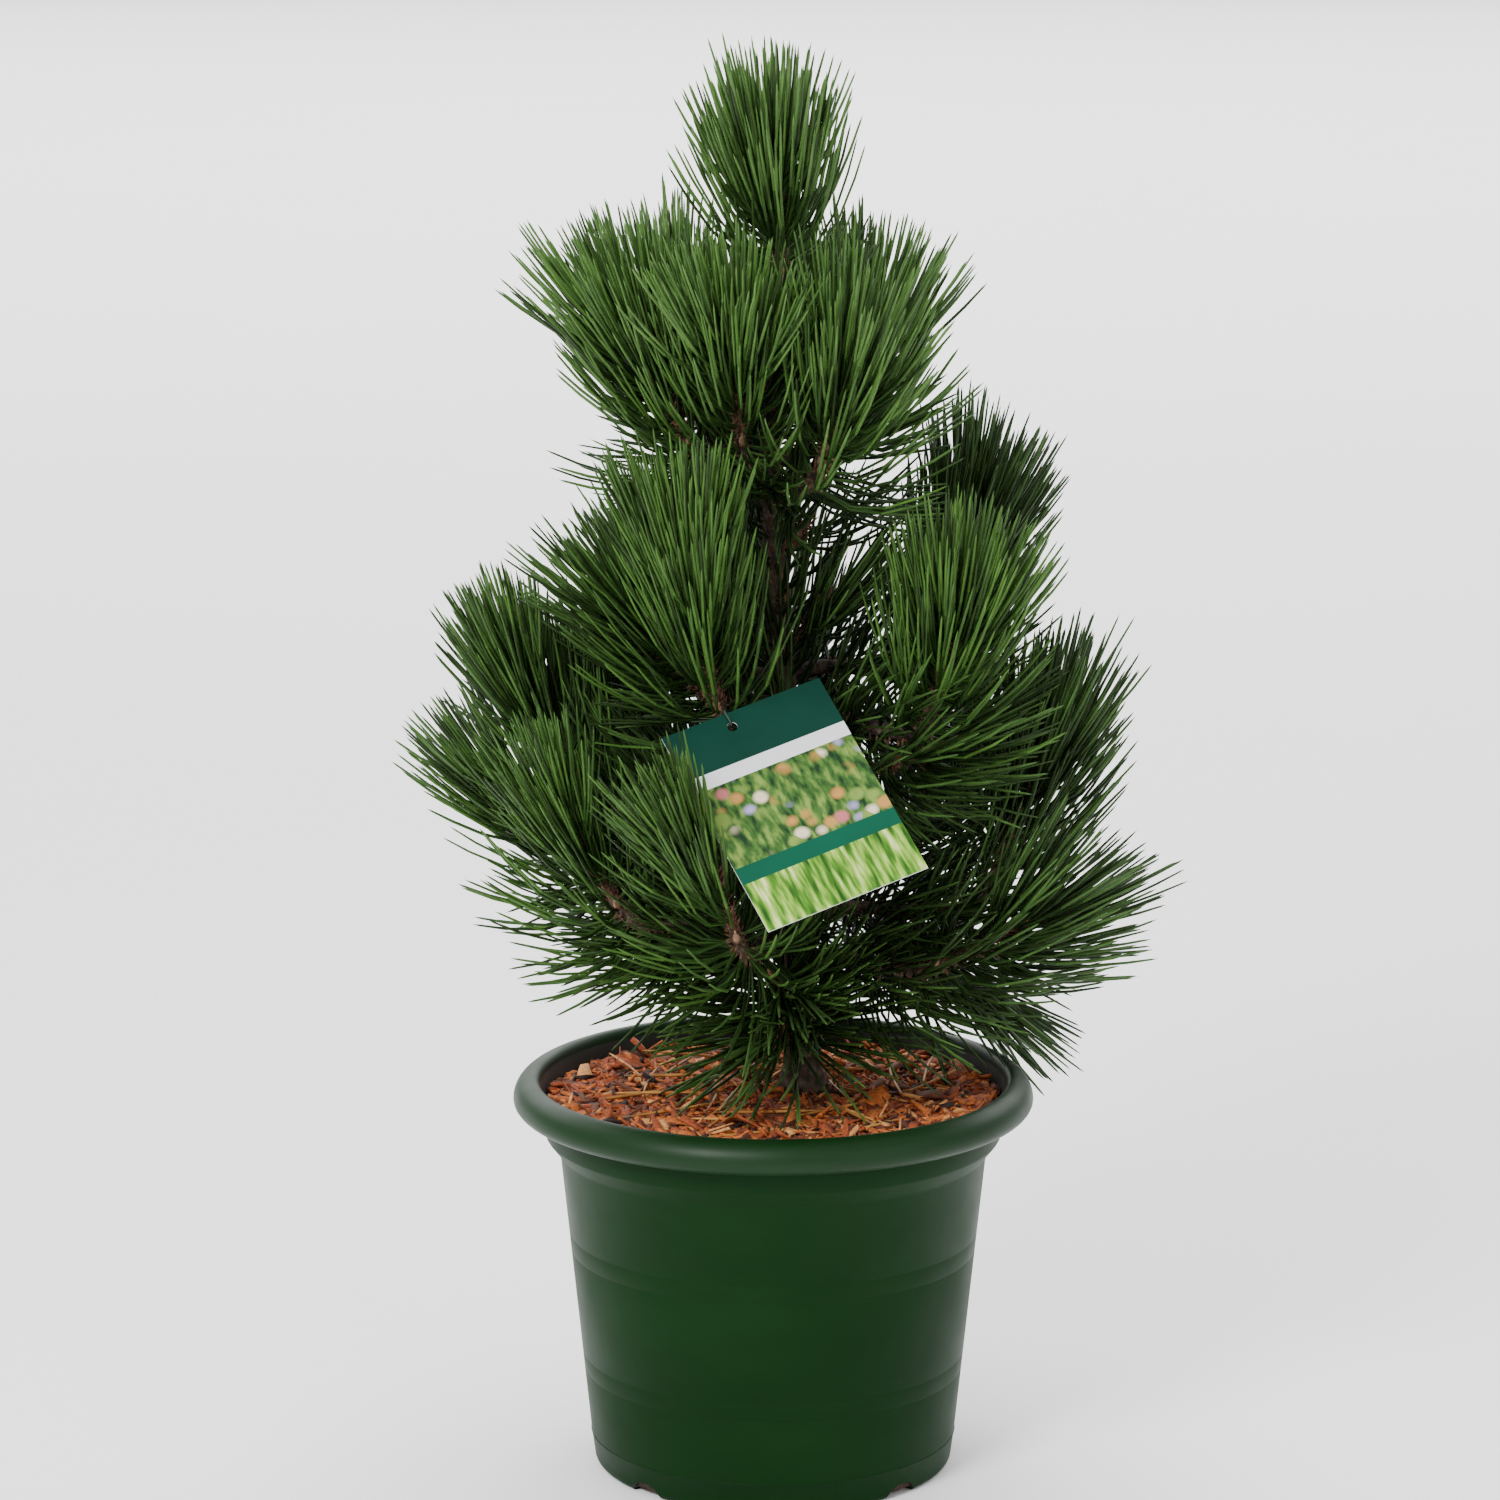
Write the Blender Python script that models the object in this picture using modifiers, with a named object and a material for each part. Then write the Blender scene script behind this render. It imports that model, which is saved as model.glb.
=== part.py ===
"""Young bosnian pine in a round grower's pot, with its hanging plant card.

Metres, +Z up. The origin is the middle of the pot's flat underside, and the
front of the plant, where the card hangs, looks along -Y.
"""

from collections import namedtuple
import math
import random

import bmesh
import bpy
import numpy as np
from mathutils import Matrix, Vector

MM = 0.001
GAP = 0.3 * MM
WELD = 0.01 * MM

# Pot: a moulded container with a rolled rim and four drain arches
POT_HEIGHT = 205 * MM
POT_WALL = 2.4 * MM
BASE_RADIUS = 93 * MM
WALL_TOP_RADIUS = 110 * MM
WALL_TOP_HEIGHT = 165.5 * MM
NECK_RADIUS = 117.5 * MM
NECK_HEIGHT = 174.5 * MM
RIM_RADIUS = 134 * MM
RIM_HEIGHT = 194 * MM
RIM_CREST_RADIUS = 123.5 * MM
RIM_UNDERSIDE = 187 * MM
MOUTH_RADIUS = 120 * MM
MOUTH_HEIGHT = 200 * MM
LIP_WIDTH = 2 * MM
BASE_BEVEL = 4 * MM
BASE_BEVEL_SHOULDER = 1.2 * MM
POT_STEPS = 40
ARCH_WIDTH = 20 * MM
ARCH_HEIGHT = 7 * MM
ARCH_DEPTH = 16 * MM
ARCH_SIDES = 20
ARCH_BEARINGS = (45, 135, 225, 315)

# Root ball under its bark mulch
MULCH_EDGE_HEIGHT = 194 * MM
MULCH_CROWN_HEIGHT = 197 * MM
MULCH_CROWN_RADIUS = 22 * MM
MULCH_FALL_POWER = 1.6
MULCH_RINGS = 4

# Trunk: where its middle stands at some heights, and how thick it is there
TrunkPoint = namedtuple("TrunkPoint", "height x y radius")
TRUNK = (
    TrunkPoint(MULCH_CROWN_HEIGHT + GAP, 15 * MM, 0, 13 * MM),
    TrunkPoint(203 * MM, 15 * MM, 0, 11 * MM),
    TrunkPoint(218 * MM, 14.5 * MM, 0, 9.4 * MM),
    TrunkPoint(300 * MM, 12.5 * MM, 1 * MM, 8.6 * MM),
    TrunkPoint(370 * MM, 8.5 * MM, 3 * MM, 7.2 * MM),
    TrunkPoint(430 * MM, 3 * MM, 4 * MM, 5.8 * MM),
    TrunkPoint(485 * MM, 0, 3 * MM, 5.0 * MM),
    TrunkPoint(540 * MM, -2 * MM, 2 * MM, 4.5 * MM),
    TrunkPoint(590 * MM, 2 * MM, 0, 4.0 * MM),
    TrunkPoint(618 * MM, 4.5 * MM, 0, 3.6 * MM),
)
TRUNK_SIDES = 16

# Boughs and shoots
BOUGH_ROOT_RADIUS = 3.8 * MM
BOUGH_TIP_RADIUS = 3.0 * MM
BOUGH_RISE = 18
BOUGH_LEAVE_PULL = 0.4
BOUGH_ARRIVE_PULL = 0.35
BOUGH_POINTS = 6
BOUGH_STRAIGHT_ROOT = 3 * MM
BOUGH_STRAIGHT_END = 4 * MM
LIMB_SIDES = 6
STEM_RADIUS = 3.0 * MM
BUD_RADIUS = 1.6 * MM
TWIGS_PER_STEM = 2
TWIG_RADIUS = 1.8 * MM
TWIG_TAPER = 0.4
TWIG_SHARE = 0.5
TWIG_TURN_OUT = 24
TWIG_SPREAD_SHARE = 0.5
FIRST_TWIG_PLACE = 0.28
TWIG_STEP = 0.22

# Needles, each standing for a small bunch
NEEDLE_LENGTH = 78 * MM
NEEDLE_RADIUS = 1.8 * MM
NEEDLE_BELLY = 0.4
NEEDLES_ON_STEM = 16
NEEDLES_ON_TWIG = 3
FIRST_NEEDLE_PLACE = 0.12
TIP_SPREAD = 4
SPREAD_POWER = 0.4
NEEDLE_LIFT = 0.28
LIFT_LOSS = 0.42
ROOT_OFFSET = 0.8 * MM
GOLDEN_TURN = math.radians(137.508)
CLEARANCE = 0.5 * MM
SPACE_SHARE = 1.3
TRIES = 6
RETRY_TURN = 0.45
CLEAR_STEPS = 24

# Plant card on its tie
CARD_SIZE = (87 * MM, 118 * MM)
CARD_THICKNESS = 0.8 * MM
CARD_CENTRE = Vector((9.5, -105, 370)) * MM
CARD_ACROSS = Vector((0.893, 0.35, 0.285))
CARD_UP = Vector((-0.444, 0.573, 0.689))
CARD_HOLE_RADIUS = 2.6 * MM
CARD_HOLE_DROP = 8 * MM
CARD_HOLE_ASIDE = -8.5 * MM
TIE_RADIUS = 0.7 * MM
TIE_PLACE_ON_BOUGH = 0.62
TIE_TURNS = (75, 285, 9)
TIE_BEHIND = 2 * MM

# Where each shoot grows: its bough leaves the trunk at height `root`, reaches
# `out` at `bearing` and `up` above its root, and the shoot on its tip leans
# from the upright by `lean` towards `heading`. Angles are degrees from +X,
# lengths are millimetres. A shoot with no `out` stands on the trunk itself.
# Its lowest needles open by `spread`, and all turn up by `rise`, or down below 0.
Shoot = namedtuple("Shoot", "name root bearing out up lean heading length spread rise")

LEADER = Shoot("leader", 618, 0, 0, 0, 8, 180, 44, 42, 1)

UPPER_WHORL = (
    Shoot("upper_left", 527, -153, 47, 12, 27, -162, 52, 46, 1),
    Shoot("upper_front", 518, -111, 41, 23, 28, -98, 46, 38, 1),
    Shoot("upper_right", 510, -59, 47, 18, 28, -56, 45, 46, 1),
    Shoot("upper_right_back", 524, 34, 45, 15, 17, 34, 40, 38, 1),
    Shoot("upper_back", 532, 84, 41, 10, 34, 81, 46, 40, 1),
    Shoot("upper_left_back", 514, 139, 42, 20, 26, 146, 52, 40, 1),
)

MIDDLE_WHORL = (
    Shoot("middle_front_left", 400, -125, 58, 8, 22, -122, 78, 32, 1.2),
    Shoot("middle_left", 414, -164, 42, -6, 36, -162, 46, 46, 0.9),
    Shoot("middle_right_back", 414, 29, 82, 8, 28, 20, 58, 40, 1),
    Shoot("middle_right", 392, -30, 84, 12, 22, -44, 44, 46, 1.3),
    Shoot("middle_right_low", 360, -32, 50, 10, 66, -30, 30, 50, 0.5),
    Shoot("middle_back", 404, 98, 66, 8, 38, 112, 50, 34, 1),
    Shoot("middle_left_back", 396, 130, 60, 4, 28, 126, 44, 38, 1),
)

LOWER_WHORL = (
    Shoot("left_high", 332, -177, 113, 30, 30, 170, 44, 26, 1),
    Shoot("left_high_back", 324, 153, 100, 18, 38, 146, 36, 30, 1),
    Shoot("low_left", 302, 178, 109, 12, 45, 176, 48, 32, 0.9),
    Shoot("low_left_front", 290, -153, 104, 18, 34, -148, 42, 22, 1),
    Shoot("low_front_left", 282, -111, 90, 18, 34, -116, 54, 26, 1),
    Shoot("low_right_high", 290, 0, 100, 19, 20, 10, 66, 47, 0.8),
    Shoot("low_right", 266, -25, 80, 6, 61, -18, 48, 44, 0.6),
    Shoot("low_right_back", 300, 52, 88, 14, 42, 48, 56, 42, 1),
    Shoot("low_back", 288, 95, 84, 15, 44, 92, 58, 42, 1),
    Shoot("low_left_back", 306, 132, 90, 14, 46, 132, 56, 42, 1),
    Shoot("foot_right_back", 262, 24, 74, -2, 138, 22, 30, 26, -0.2),
)

ON_TRUNK = (
    Shoot("inner_top", 478, 15, 0, 0, 34, 15, 20, 44, 0.6),
    Shoot("inner_right", 430, -20, 0, 0, 32, -5, 24, 38, 0.6),
    Shoot("low_front", 246, -100, 0, 0, 60, -106, 50, 58, 0.4),
    Shoot("low_left_spray", 268, -168, 0, 0, 74, -178, 60, 36, 0.3),
    Shoot("foot", 226, -120, 0, 0, 60, -100, 22, 78, -0.6),
)

SHOOTS = (LEADER,) + UPPER_WHORL + MIDDLE_WHORL + LOWER_WHORL + ON_TRUNK


def clear_scene():
    for item in list(bpy.data.objects):
        bpy.data.objects.remove(item, do_unlink=True)


def make_collection(name):
    collection = bpy.data.collections.new(name)
    bpy.context.scene.collection.children.link(collection)
    return collection


def make_material(name, colour, roughness):
    material = bpy.data.materials.new(name)
    material.use_nodes = True
    shader = material.node_tree.nodes["Principled BSDF"]
    shader.inputs["Base Color"].default_value = (*colour, 1.0)
    shader.inputs["Roughness"].default_value = roughness
    shader.inputs["Metallic"].default_value = 0.0
    return material


def direction(lean, heading):
    """Unit vector that leans from the upright towards a compass heading."""
    lean, heading = math.radians(lean), math.radians(heading)
    flat = math.sin(lean)
    return Vector((flat * math.cos(heading), flat * math.sin(heading), math.cos(lean)))


def turned_solid(name, profile, collection, material):
    """Solid of revolution whose (radius, height) profile runs down its outer side."""
    mesh = bpy.data.meshes.new(name)
    points = [(radius, 0, height) for radius, height in profile]
    edges = [(i, i + 1) for i in range(len(points) - 1)]
    mesh.from_pydata(points, edges, [])
    solid = bpy.data.objects.new(name, mesh)
    collection.objects.link(solid)
    screw = solid.modifiers.new("Turn", "SCREW")
    screw.steps = POT_STEPS
    screw.render_steps = POT_STEPS
    screw.use_merge_vertices = True
    screw.merge_threshold = WELD
    screw.use_smooth_shade = True
    mesh.materials.append(material)
    return solid


def tube_mesh(name, points, radii, sides):
    """Closed mesh tube through the points, with a radius at each."""
    curve = bpy.data.curves.new(name, "CURVE")
    curve.dimensions = "3D"
    curve.bevel_depth = 1.0
    curve.bevel_resolution = sides // 2 - 2
    curve.use_fill_caps = True
    spline = curve.splines.new("POLY")
    spline.points.add(len(points) - 1)
    for spot, point, radius in zip(spline.points, points, radii):
        spot.co = (*point, 1.0)
        spot.radius = radius
    guide = bpy.data.objects.new(name, curve)
    bpy.context.scene.collection.objects.link(guide)
    mesh = bpy.data.meshes.new_from_object(guide.evaluated_get(bpy.context.evaluated_depsgraph_get()))
    bpy.data.objects.remove(guide, do_unlink=True)
    bpy.data.curves.remove(curve)
    shape = bmesh.new()
    shape.from_mesh(mesh)
    bmesh.ops.remove_doubles(shape, verts=shape.verts, dist=WELD)
    bmesh.ops.recalc_face_normals(shape, faces=shape.faces)
    shape.to_mesh(mesh)
    shape.free()
    return mesh


def tube(name, points, radii, sides, collection, material):
    mesh = tube_mesh(name, points, radii, sides)
    mesh.materials.append(material)
    limb = bpy.data.objects.new(name, mesh)
    collection.objects.link(limb)
    return limb


def arc(centre, wide, tall, start, end, steps):
    """Points on an ellipse in a profile's plane, from one angle to another."""
    turns = np.radians(np.linspace(start, end, steps))
    return [(centre[0] + wide * math.cos(t), centre[1] + tall * math.sin(t)) for t in turns]


def pot_inner_radius(height):
    """Inner radius of the straight wall, of the neck above it and of the flare to the mouth."""
    outside = [BASE_RADIUS, WALL_TOP_RADIUS, NECK_RADIUS, NECK_RADIUS]
    inside = [radius - POT_WALL for radius in outside] + [MOUTH_RADIUS]
    heights = [0, WALL_TOP_HEIGHT, NECK_HEIGHT, RIM_UNDERSIDE, MOUTH_HEIGHT]
    return float(np.interp(height, heights, inside))


def pot_profile():
    """From the middle of the floor up the inside, over the rim and down the outside."""
    rim_centre = (RIM_CREST_RADIUS, RIM_HEIGHT)
    rim_reach = RIM_RADIUS - RIM_CREST_RADIUS
    lip_centre = (RIM_CREST_RADIUS, MOUTH_HEIGHT)
    inside = [(0, POT_WALL)]
    for height in (POT_WALL, WALL_TOP_HEIGHT, NECK_HEIGHT, RIM_UNDERSIDE):
        inside.append((pot_inner_radius(height), height))
    lip = arc(lip_centre, RIM_CREST_RADIUS - MOUTH_RADIUS, POT_HEIGHT - MOUTH_HEIGHT, 180, 120, 3)
    roll = arc(rim_centre, rim_reach, POT_HEIGHT - RIM_HEIGHT, 90, 0, 5)
    underside = arc(rim_centre, rim_reach, RIM_HEIGHT - RIM_UNDERSIDE, -30, -90, 3)
    outside = [
        (NECK_RADIUS, RIM_UNDERSIDE),
        (NECK_RADIUS, NECK_HEIGHT),
        (WALL_TOP_RADIUS, WALL_TOP_HEIGHT),
        (BASE_RADIUS, BASE_BEVEL),
        (BASE_RADIUS - BASE_BEVEL_SHOULDER, BASE_BEVEL_SHOULDER),
        (BASE_RADIUS - BASE_BEVEL, 0),
        (0, 0),
    ]
    return inside + lip + roll + underside + outside


def make_pot(collection, cutters, material):
    pot = turned_solid("pot", pot_profile(), collection, material)
    for bearing in ARCH_BEARINGS:
        turn = math.radians(bearing)
        bpy.ops.mesh.primitive_cylinder_add(vertices=ARCH_SIDES, radius=ARCH_WIDTH / 2, depth=ARCH_DEPTH)
        cutter = bpy.context.object
        cutter.name = f"drain_arch_{bearing}"
        place = Matrix.Translation((BASE_RADIUS * math.cos(turn), BASE_RADIUS * math.sin(turn), 0))
        lay = Matrix.Rotation(turn, 4, "Z") @ Matrix.Rotation(math.pi / 2, 4, "Y")
        flatten = Matrix.Diagonal((ARCH_HEIGHT / (ARCH_WIDTH / 2), 1, 1, 1))
        cutter.data.transform(place @ lay @ flatten)
        cutter.hide_render = True
        cutter.display_type = "WIRE"
        for home in list(cutter.users_collection):
            home.objects.unlink(cutter)
        cutters.objects.link(cutter)
    cut = pot.modifiers.new("Drain arches", "BOOLEAN")
    cut.operation = "DIFFERENCE"
    cut.operand_type = "COLLECTION"
    cut.collection = cutters
    return pot


def mulch_height(radius):
    """Height of the mulch, which falls in a soft curve from a flat crown to the wall."""
    edge = pot_inner_radius(MULCH_EDGE_HEIGHT) - GAP
    share = min(max((radius - MULCH_CROWN_RADIUS) / (edge - MULCH_CROWN_RADIUS), 0), 1)
    return MULCH_CROWN_HEIGHT - (MULCH_CROWN_HEIGHT - MULCH_EDGE_HEIGHT) * share ** MULCH_FALL_POWER


def make_root_ball(collection, material):
    floor = POT_WALL + GAP
    edge = pot_inner_radius(MULCH_EDGE_HEIGHT) - GAP
    crown = [(0, MULCH_CROWN_HEIGHT)]
    slope = [(r, mulch_height(r)) for r in np.linspace(MULCH_CROWN_RADIUS, edge, MULCH_RINGS)]
    side_heights = (RIM_UNDERSIDE, NECK_HEIGHT, WALL_TOP_HEIGHT, floor)
    sides = [(pot_inner_radius(z) - GAP, z) for z in side_heights]
    return turned_solid("root_ball", crown + slope + sides + [(0, floor)], collection, material)


def trunk_at(height):
    """Middle of the trunk at a height, and its radius there."""
    heights = [p.height for p in TRUNK]
    x = np.interp(height, heights, [p.x for p in TRUNK])
    y = np.interp(height, heights, [p.y for p in TRUNK])
    radius = np.interp(height, heights, [p.radius for p in TRUNK])
    return Vector((x, y, height)), float(radius)


def cubic(a, b, c, d, steps):
    """Points along a cubic curve between a and d, pulled towards b and c."""
    points = []
    for t in np.linspace(0, 1, steps):
        s = 1 - t
        points.append(a * s ** 3 + b * (3 * s * s * t) + c * (3 * s * t * t) + d * t ** 3)
    return points


def bough_line(shoot):
    """Points of a bough: level off the trunk, then in a rising curve to the foot of its shoot."""
    middle, trunk_radius = trunk_at(shoot.root * MM)
    flat_way = direction(90, shoot.bearing)
    root = middle + flat_way * (trunk_radius + GAP)
    start = root + flat_way * BOUGH_STRAIGHT_ROOT
    end = middle + flat_way * (shoot.out * MM) + Vector((0, 0, shoot.up * MM))
    end_way = direction(shoot.lean, shoot.heading)
    bend_end = end - end_way * BOUGH_STRAIGHT_END
    reach = (bend_end - start).length
    leave = start + direction(90 - BOUGH_RISE, shoot.bearing) * (reach * BOUGH_LEAVE_PULL)
    arrive = bend_end - end_way * (reach * BOUGH_ARRIVE_PULL)
    return [root] + cubic(start, leave, arrive, bend_end, BOUGH_POINTS) + [end]


def stem_line(shoot):
    """Points of a shoot's stem, from its foot to its bud."""
    way = direction(shoot.lean, shoot.heading)
    if shoot.out:
        foot = bough_line(shoot)[-1] + way * GAP
    elif shoot is LEADER:
        foot = trunk_at(shoot.root * MM)[0] + way * (GAP + STEM_RADIUS * math.sin(math.radians(shoot.lean)))
    else:
        middle, trunk_radius = trunk_at(shoot.root * MM)
        tilt_room = STEM_RADIUS * math.cos(math.radians(shoot.lean))
        foot = middle + direction(90, shoot.bearing) * (trunk_radius + tilt_room + GAP)
    return [foot, foot + way * (shoot.length * MM)]


def across(way):
    """Two directions at right angles to a way and to each other."""
    side = way.cross(Vector((0, 0, 1)) if abs(way.z) < 0.9 else Vector((1, 0, 0))).normalized()
    return side, way.cross(side).normalized()


def twig_lines(shoot):
    """Side twigs of a shoot: where each leaves the stem and where it ends."""
    dice = random.Random(shoot.name)
    stem = stem_line(shoot)
    way = (stem[-1] - stem[0]).normalized()
    side, other = across(way)
    twigs = []
    first_turn = dice.uniform(0, 2 * math.pi)
    for i in range(TWIGS_PER_STEM):
        turn = first_turn + i * math.pi * dice.uniform(0.8, 1.2)
        out = side * math.cos(turn) + other * math.sin(turn)
        open_by = math.radians(TWIG_TURN_OUT)
        twig_way = way * math.cos(open_by) + out * math.sin(open_by)
        foot = stem[0].lerp(stem[-1], FIRST_TWIG_PLACE + TWIG_STEP * i)
        twigs.append((foot, foot + twig_way * (shoot.length * MM * TWIG_SHARE)))
    return twigs


def needle_ways(foot, tip, count, base_spread, rise):
    """Number, root and direction of each needle round a stem, by the golden turn."""
    way = (tip - foot).normalized()
    side, other = across(way)
    for i in range(count):
        share = (i + 0.5) / count
        spread = math.radians(TIP_SPREAD + (base_spread - TIP_SPREAD) * (1 - share) ** SPREAD_POWER)
        root = foot.lerp(tip, FIRST_NEEDLE_PLACE + (1 - FIRST_NEEDLE_PLACE) * share)
        for attempt in range(TRIES):
            turn = i * GOLDEN_TURN + attempt * RETRY_TURN
            out = side * math.cos(turn) + other * math.sin(turn)
            needle_way = way * math.cos(spread) + out * math.sin(spread)
            needle_way.z += NEEDLE_LIFT * rise * (1 - share * LIFT_LOSS)
            yield i, root + out * ROOT_OFFSET, needle_way.normalized()


def segment_gaps(start, end, starts, ends):
    """Distance from one segment to each of many, and where along both it falls."""
    one = end - start
    many = ends - starts
    offset = start - starts
    one_one = one @ one
    many_many = np.einsum("ij,ij->i", many, many)
    one_many = many @ one
    one_offset = offset @ one
    many_offset = np.einsum("ij,ij->i", many, offset)
    spread = one_one * many_many - one_many ** 2 + 1e-15
    on_one = np.clip((one_many * many_offset - one_offset * many_many) / spread, 0, 1)
    on_many = np.clip((one_many * on_one + many_offset) / many_many, 0, 1)
    on_one = np.clip((one_many * on_many - one_offset) / one_one, 0, 1)
    apart = offset + one * on_one[:, None] - many * on_many[:, None]
    return np.linalg.norm(apart, axis=1), on_one, on_many


class Occupied:
    """The limbs and needles that stand already, as tapering segments."""

    def __init__(self):
        self.starts = []
        self.ends = []
        self.radii = []
        self.owners = []

    def add(self, start, end, start_radius, end_radius, owner):
        self.starts.append(tuple(start))
        self.ends.append(tuple(end))
        self.radii.append((start_radius, end_radius))
        self.owners.append(owner)

    def add_line(self, points, radii, owner):
        for i in range(len(points) - 1):
            self.add(points[i], points[i + 1], radii[i], radii[i + 1], owner)

    def held_by_others(self, owner):
        """Starts, ends and radii of all that another owner holds."""
        theirs = [i for i, name in enumerate(self.owners) if name != owner]
        return tuple(np.array(values)[theirs] for values in (self.starts, self.ends, self.radii))


def needle_radius(share):
    """Radius of a needle at a share of its length: widest at its belly."""
    return NEEDLE_RADIUS * np.minimum(share / NEEDLE_BELLY, (1 - share) / (1 - NEEDLE_BELLY))


def is_clear(start, end, others, own_radius=needle_radius):
    """True where a needle or twig stands clear of everything that other owners hold."""
    starts, ends, radii = others
    gaps, on_one, on_many = segment_gaps(np.array(start), np.array(end), starts, ends)
    theirs = radii[:, 0] + (radii[:, 1] - radii[:, 0]) * on_many
    return bool(np.all(gaps > own_radius(on_one) + theirs + CLEARANCE))


def along(start, end):
    """Points along a needle past its root."""
    return [start.lerp(end, share) for share in np.linspace(0, 1, CLEAR_STEPS)[2:]]


def clear_of_card(start, end):
    room = NEEDLE_RADIUS + CLEARANCE
    face = CARD_ACROSS.cross(CARD_UP)
    for point in along(start, end):
        offset = point - CARD_CENTRE
        beside = abs(offset.dot(CARD_ACROSS)) > CARD_SIZE[0] / 2 + room
        beyond = abs(offset.dot(CARD_UP)) > CARD_SIZE[1] / 2 + room
        off_face = abs(offset.dot(face)) > CARD_THICKNESS / 2 + room
        if not (beside or beyond or off_face):
            return False
    return True


def clear_of_pot(start, end):
    room = NEEDLE_RADIUS + CLEARANCE
    for point in along(start, end):
        radius = math.hypot(point.x, point.y)
        over_mulch = radius < MOUTH_RADIUS - LIP_WIDTH - room and point.z > mulch_height(radius) + room
        past_rim = radius > RIM_RADIUS + room or point.z > POT_HEIGHT + room
        if not (over_mulch or past_rim):
            return False
    return True


def stem_distances(point, stems):
    """Distance from a point to every shoot's stem."""
    spot = np.array(point)
    tiny = np.array((0, 0, 1e-6))
    gaps, _, _ = segment_gaps(spot, spot + tiny, stems[:, 0], stems[:, 1])
    return gaps


def in_own_space(index, start, end, stems):
    """True where a needle's middle and tip lie nearer its own stem than another's."""
    for point in (start.lerp(end, 0.5), end):
        gaps = stem_distances(point, stems)
        if gaps[index] > gaps.min() * SPACE_SHARE:
            return False
    return True


def cone_mesh(name, start, end, start_radius, end_radius):
    """Three-sided cone between two points."""
    way = end - start
    shape = bmesh.new()
    bmesh.ops.create_cone(
        shape, cap_ends=True, segments=3, radius1=start_radius, radius2=end_radius, depth=way.length
    )
    turn = way.to_track_quat("Z", "Y").to_matrix().to_4x4()
    bmesh.ops.transform(shape, matrix=Matrix.Translation(start.lerp(end, 0.5)) @ turn, verts=shape.verts)
    mesh = bpy.data.meshes.new(name)
    shape.to_mesh(mesh)
    shape.free()
    return mesh


def needle_mesh(start, end):
    """Three-sided needle, thin at its root, widest at its belly and pointed at its tip."""
    belly = start.lerp(end, NEEDLE_BELLY)
    mesh = cone_mesh("needle", belly, end, NEEDLE_RADIUS, 0)
    shape = bmesh.new()
    shape.from_mesh(mesh)
    cap = min(shape.faces, key=lambda face: (face.calc_center_median() - belly).length)
    bmesh.ops.poke(shape, faces=[cap])["verts"][0].co = start
    shape.to_mesh(mesh)
    shape.free()
    return mesh


def keep_largest_island(mesh):
    """Drop the scraps and the sealed hollows that fusing leaves."""
    shape = bmesh.new()
    shape.from_mesh(mesh)
    todo = set(shape.verts)
    islands = []
    while todo:
        island = {todo.pop()}
        edge_of_growth = list(island)
        while edge_of_growth:
            vert = edge_of_growth.pop()
            for edge in vert.link_edges:
                neighbour = edge.other_vert(vert)
                if neighbour in todo:
                    todo.remove(neighbour)
                    island.add(neighbour)
                    edge_of_growth.append(neighbour)
        islands.append(island)
    islands.sort(key=len)
    for island in islands[:-1]:
        bmesh.ops.delete(shape, geom=list(island), context="VERTS")
    shape.to_mesh(mesh)
    shape.free()


def fuse(body, additions):
    """Join a collection of meshes into a body with one Boolean union."""
    union = body.modifiers.new("Fuse", "BOOLEAN")
    union.operation = "UNION"
    union.operand_type = "COLLECTION"
    union.collection = additions
    mesh = bpy.data.meshes.new_from_object(body.evaluated_get(bpy.context.evaluated_depsgraph_get()))
    body.modifiers.clear()
    body.data = mesh
    keep_largest_island(mesh)
    for item in list(additions.objects):
        bpy.data.objects.remove(item, do_unlink=True)
    bpy.data.collections.remove(additions)


def stem_radii():
    return [STEM_RADIUS, BUD_RADIUS]


def twig_radius(share):
    """Radius of a side twig at a share of its length."""
    return TWIG_RADIUS * (1 - TWIG_TAPER * share)


def grow_twigs(shoot, occupied):
    """Choose the side twigs of a shoot: those that touch no other limb."""
    others = occupied.held_by_others(shoot.name)
    chosen = [line for line in twig_lines(shoot) if is_clear(*line, others, twig_radius)]
    for foot, tip in chosen:
        occupied.add(foot, tip, twig_radius(0), twig_radius(1), shoot.name)
    return chosen


def grow_needles(index, shoot, twigs, occupied, stems):
    """Choose the needles of a shoot: those that keep to its space and touch nothing."""
    stem = stem_line(shoot)
    carriers = [(stem[0], stem[-1], NEEDLES_ON_STEM, shoot.spread)]
    carriers += [(foot, tip, NEEDLES_ON_TWIG, shoot.spread * TWIG_SPREAD_SHARE) for foot, tip in twigs]
    dice = random.Random(shoot.name + " needles")
    others = occupied.held_by_others(shoot.name)
    chosen = []
    for foot, tip, count, spread in carriers:
        done = set()
        for i, root, way in needle_ways(foot, tip, count, spread, shoot.rise):
            end = root + way * (NEEDLE_LENGTH * dice.uniform(0.9, 1.04))
            if i in done:
                continue
            if not in_own_space(index, root, end, stems):
                continue
            if not (clear_of_card(root, end) and clear_of_pot(root, end)):
                continue
            if is_clear(root, end, others):
                done.add(i)
                chosen.append((root, end))
    for root, end in chosen:
        belly = root.lerp(end, NEEDLE_BELLY)
        occupied.add(root, belly, 0, NEEDLE_RADIUS, shoot.name)
        occupied.add(belly, end, NEEDLE_RADIUS, 0, shoot.name)
    return chosen


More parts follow.
